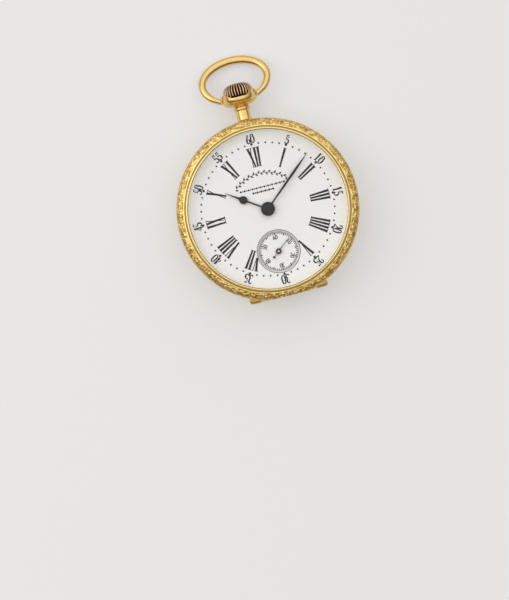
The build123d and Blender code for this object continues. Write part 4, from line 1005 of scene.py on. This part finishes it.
y0, y1 = CROWN_Y0, CROWN_Y1
outer = np.concatenate([
    line((CROWN_R - 0.75, y0), (CROWN_R - 0.12, y0 + 0.35), 4),
    line((CROWN_R - 0.12, y0 + 0.35), (CROWN_R, y0 + 0.8), 4),
    line((CROWN_R, y0 + 0.8), (CROWN_R, y1 - 1.55), 8),
    arc((CROWN_R - 1.9, y1 - 1.55), 1.9, 1.52, 0, 80, 18),
    line((CROWN_R - 1.60, y1 - 0.03), (0.0, y1), 8), [(0.0, y1)]])
hollow = np.array([(0.0, y1 - 0.8), (2.20, y1 - 0.8), (2.20, y0 + 0.2), (CROWN_R - 0.75, y0)])
profile = np.vstack([outer, hollow[:3]])
CROWN_STEPS = RIBS * 20
grid, turn = stem_turned(profile, CROWN_STEPS, fluted)
# Rib height picks the colour: painted shade in the grooves, a middle level where the ribs fade.
ribbed = np.clip((profile[:, :1] - 0.6) / 1.4, 0, 1)
relief = np.broadcast_to(rib(turn) * ribbed + 0.6 * (1 - ribbed), grid.shape[:2])
add_piece("crown_fluted", [(flat(grid), grid_faces(len(profile), CROWN_STEPS, True))], CROWN_GOLD, "crown",
          ("crown",), relief=relief.ravel(), merge=0.0002)

BOW_HALF, BOW_LOW, BOW_HIGH = 6.95, 5.06, 4.75   # half width, lower and upper half height
WIRE_TOP, WIRE_END = 0.88, 0.68                  # radius of the wire at its top and ends
SCREW_R = 0.35
BOW_STEPS, BLEND_STEPS = 220, 14
END_X = CUP_R + 0.12 + WIRE_END
END_RUN = 0.78                                   # how far an end runs on towards its lobe
rise = BOW_LOW * sqrt(1 - (END_X / BOW_HALF) ** 2)
DROP = atan2(STEM_Z - WIRE_TOP, rise + BOW_HIGH) + radians(0.9)
first = atan2(-rise / BOW_LOW, END_X / BOW_HALF)
sweep = np.linspace(first, pi - first, BOW_STEPS)
half_height = np.where(np.sin(sweep) < 0, BOW_LOW, BOW_HIGH)
path = np.column_stack([BOW_HALF * np.cos(sweep), rise + half_height * np.sin(sweep)])
wire = WIRE_END + (WIRE_TOP - WIRE_END) * np.sin(pi * np.linspace(0, 1, BOW_STEPS))
heading = np.gradient(path, axis=0)
heading /= np.linalg.norm(heading, axis=1)[:, None]

# Sections turn upright over the last few steps, so that each end is cut flat and faces its lobe.
order = np.arange(BOW_STEPS)
blend = np.clip(np.minimum(order, order[::-1]) / BLEND_STEPS, 0, 1)[:, None]
blend = blend**2 * (3 - 2 * blend)
facing = np.array([1.0, 0.0]) * (1 - blend) + heading * blend
facing /= np.linalg.norm(facing, axis=1)[:, None]
close = np.radians(np.linspace(90, 0, 7))
reach = END_RUN * np.sin(close)[:, None] ** 0.6
shut = np.clip(np.cos(close), 0, 1) ** 0.12
path = np.vstack([path[0] - heading[0] * reach, path[1:-1], path[-1] + heading[-1] * reach[::-1]])
size = np.concatenate([wire[0] * shut, wire[1:-1], wire[-1] * shut[::-1]])
facing = np.vstack([np.repeat(facing[:1], 7, 0), facing[1:-1], np.repeat(facing[-1:], 7, 0)])
normal = np.column_stack([facing[:, 1], -facing[:, 0]])
around = np.linspace(0, TAU, 48, endpoint=False)
local = np.stack([path[:, :1] + size[:, None] * np.cos(around) * normal[:, :1],
                  path[:, 1:] + size[:, None] * np.cos(around) * normal[:, 1:],
                  size[:, None] * np.sin(around)], axis=-1)
grid = local.copy()
grid[..., 1] = PIVOT_Y + local[..., 1] * cos(DROP) + local[..., 2] * sin(DROP)
grid[..., 2] = STEM_Z - local[..., 1] * sin(DROP) + local[..., 2] * cos(DROP)
parts = [(flat(grid), grid_faces(len(path), 48)[:, ::-1])]
screw_radius = np.array([[0.0], [SCREW_R], [SCREW_R], [0.0]])
turn = np.linspace(0, TAU, 24, endpoint=False)
for side in (-1, 1):
    x0, x1 = sorted((side * END_X, side * (CUP_R - 0.5)))
    screw = np.stack([np.array([[x0], [x0], [x1], [x1]]) + 0 * turn,
                      PIVOT_Y + screw_radius * np.sin(turn), STEM_Z + screw_radius * np.cos(turn)], axis=-1)
    parts.append((flat(screw), grid_faces(4, 24)[:, ::-1]))
add_piece("bow_wire", parts, GOLD, "bow", ("bow",), sharp=50)

# %% [markdown]
# ## Movement
# The movement is out of sight at rest and comes into view when the back and the dust cover are opened. Its
# parts keep their engineering shapes and take their real finishes: striped gilt plates, brass wheels,
# grained steel, blued screws, red jewels and an enamelled dial on copper.

# %% Finishes of the movement
WAVE_UNIT = 1 / 3.18     # scale at which the wave texture's bands are one unit wide


def metal(name, hex_text, rough, stripes=0.0):
    """Plain metal; stripes above zero lays waves of that width, in millimetres, as on a decorated bridge."""
    material, tree = new_finish(name)
    values = {"Base Color": colour(hex_text), "Metallic": 1.0, "Roughness": rough}
    if stripes:
        place = add_node(tree, "ShaderNodeTexCoord").outputs["Object"]
        lines = add_node(tree, "ShaderNodeTexWave", {"Vector": place, "Scale": WAVE_UNIT / (stripes * MM)},
                         wave_type="BANDS", bands_direction="X", wave_profile="SAW")
        soft = add_node(tree, "ShaderNodeMapRange", {
            "Value": lines.outputs["Fac"], "To Min": rough - 0.12, "To Max": rough + 0.12})
        values["Roughness"] = soft.outputs["Result"]
    shader = add_node(tree, "ShaderNodeBsdfPrincipled", values)
    show(tree, shader.outputs["BSDF"])
    return material


def jewel():
    """Synthetic ruby, polished."""
    material, tree = new_finish("synthetic_ruby")
    shader = add_node(tree, "ShaderNodeBsdfPrincipled", {
        "Base Color": colour("#A3122F"), "Roughness": 0.08, "IOR": 1.77, "Transmission Weight": 0.35})
    show(tree, shader.outputs["BSDF"])
    return material


FINISHES = {
    "chased_gold": GOLD, "polished_gold": GOLD, "crown_gold": GOLD,
    "crystal_glass": GLASS, "enamel": WHITE,
    "blackened_steel": HAND_BLACK, "bronzed_steel": HAND_BROWN,
    "gilt_brass": metal("frosted_gilt_brass", "#D2B274", 0.42, 1.4),
    "wheel_brass": metal("polished_brass", "#C9A45C", 0.25),
    "polished_steel": metal("grained_steel", "#B4B4B8", 0.28),
    "blued_steel": metal("blued_steel", "#2A3A8C", 0.25),
    "balance_bimetal": metal("brass_balance_rim", "#C29A5A", 0.3),
    "ruby": jewel(),
    "copper": metal("dial_copper", "#B87850", 0.4),
}
for entry in frame["record"]["subparts"]:
    part = frame["nodes"].get(entry.get("node") or entry.get("name"))
    if part is not None:
        part.data.materials.clear()
        part.data.materials.append(FINISHES[entry["material_slot"]])
print("finishes used:", sorted(FINISHES))

# %% [markdown]
# ## Table
# The watch lies on a light table, a sheet of opal acrylic that glows a little and so keeps shadows pale. A
# plain square with a small emission is enough for that.

# %% Table
TABLE_HALF = 0.6         # metres
opal, tree = new_finish("opal_acrylic_sheet")
sheet = add_node(tree, "ShaderNodeBsdfPrincipled", {
    "Base Color": colour("#B9B9BA"), "Roughness": 0.6, "Specular IOR Level": 0.15,
    "Emission Color": colour("#FFFFFF"), "Emission Strength": 0.34})
show(tree, sheet.outputs["BSDF"])
mesh = bpy.data.meshes.new("table")
corners = [(TABLE_HALF * x, TABLE_HALF * y, 0) for x, y in ((-1, -1), (1, -1), (1, 1), (-1, 1))]
mesh.from_pydata(corners, [], [(0, 1, 2, 3)])
mesh.materials.append(opal)
table = bpy.data.objects.new("table", mesh)
bpy.context.scene.collection.objects.link(table)
table.location = (0, 0, -0.02 * MM)
print("table laid")

# %% [markdown]
# ## Light
# One large soft lamp high on the left gives the main light and throws the shadow down to the right. The room
# is bright overhead and darker and warmer towards its walls, which is what puts brown into the turned-away
# sides of gold. Mirrors need a room: a lamp alone would leave the polished parts black.

# %% Light


def lamp(name, place, aim_at, size, power, hex_text):
    """Square soft lamp: place and aim in millimetres, size in metres."""
    data = bpy.data.lights.new(name, "AREA")
    data.shape = "SQUARE"
    data.size = size
    data.energy = power
    data.color = colour(hex_text)[:3]
    light = bpy.data.objects.new(name, data)
    light.location = [v * MM for v in place]
    away = light.location - mathutils.Vector([v * MM for v in aim_at])
    light.rotation_euler = away.to_track_quat("Z", "Y").to_euler()
    bpy.context.scene.collection.objects.link(light)
    return light


BRIGHT_SIDE = (0.04, 0.34, 1.0)   # the room is brightest overhead and a little towards twelve o'clock
WALL_TO_CEILING = [(0.0, "#5A4536"), (0.35, "#9C8874"), (0.78, "#F6F7F8"), (1.0, "#FFFFFF")]
ROOM_STRENGTH = 1.17
lamp("key_softbox", place=(-430, 170, 340), aim_at=(0, 0, 0), size=0.45, power=0.62, hex_text="#FFFDF9")

world = bpy.data.worlds.new("studio")
bpy.context.scene.world = world
world.use_nodes = True
sky = world.node_tree
sky.nodes.clear()
direction = add_node(sky, "ShaderNodeTexCoord").outputs["Generated"]
height = add_node(sky, "ShaderNodeVectorMath", {0: direction, 1: BRIGHT_SIDE}, operation="DOT_PRODUCT")
tone = ramp(sky, height.outputs["Value"], WALL_TO_CEILING)
glow = add_node(sky, "ShaderNodeBackground", {"Color": tone, "Strength": ROOM_STRENGTH})
add_node(sky, "ShaderNodeOutputWorld", {"Surface": glow.outputs["Background"]})
bpy.context.scene.view_settings.view_transform = "Standard"
print("lamps and room set")
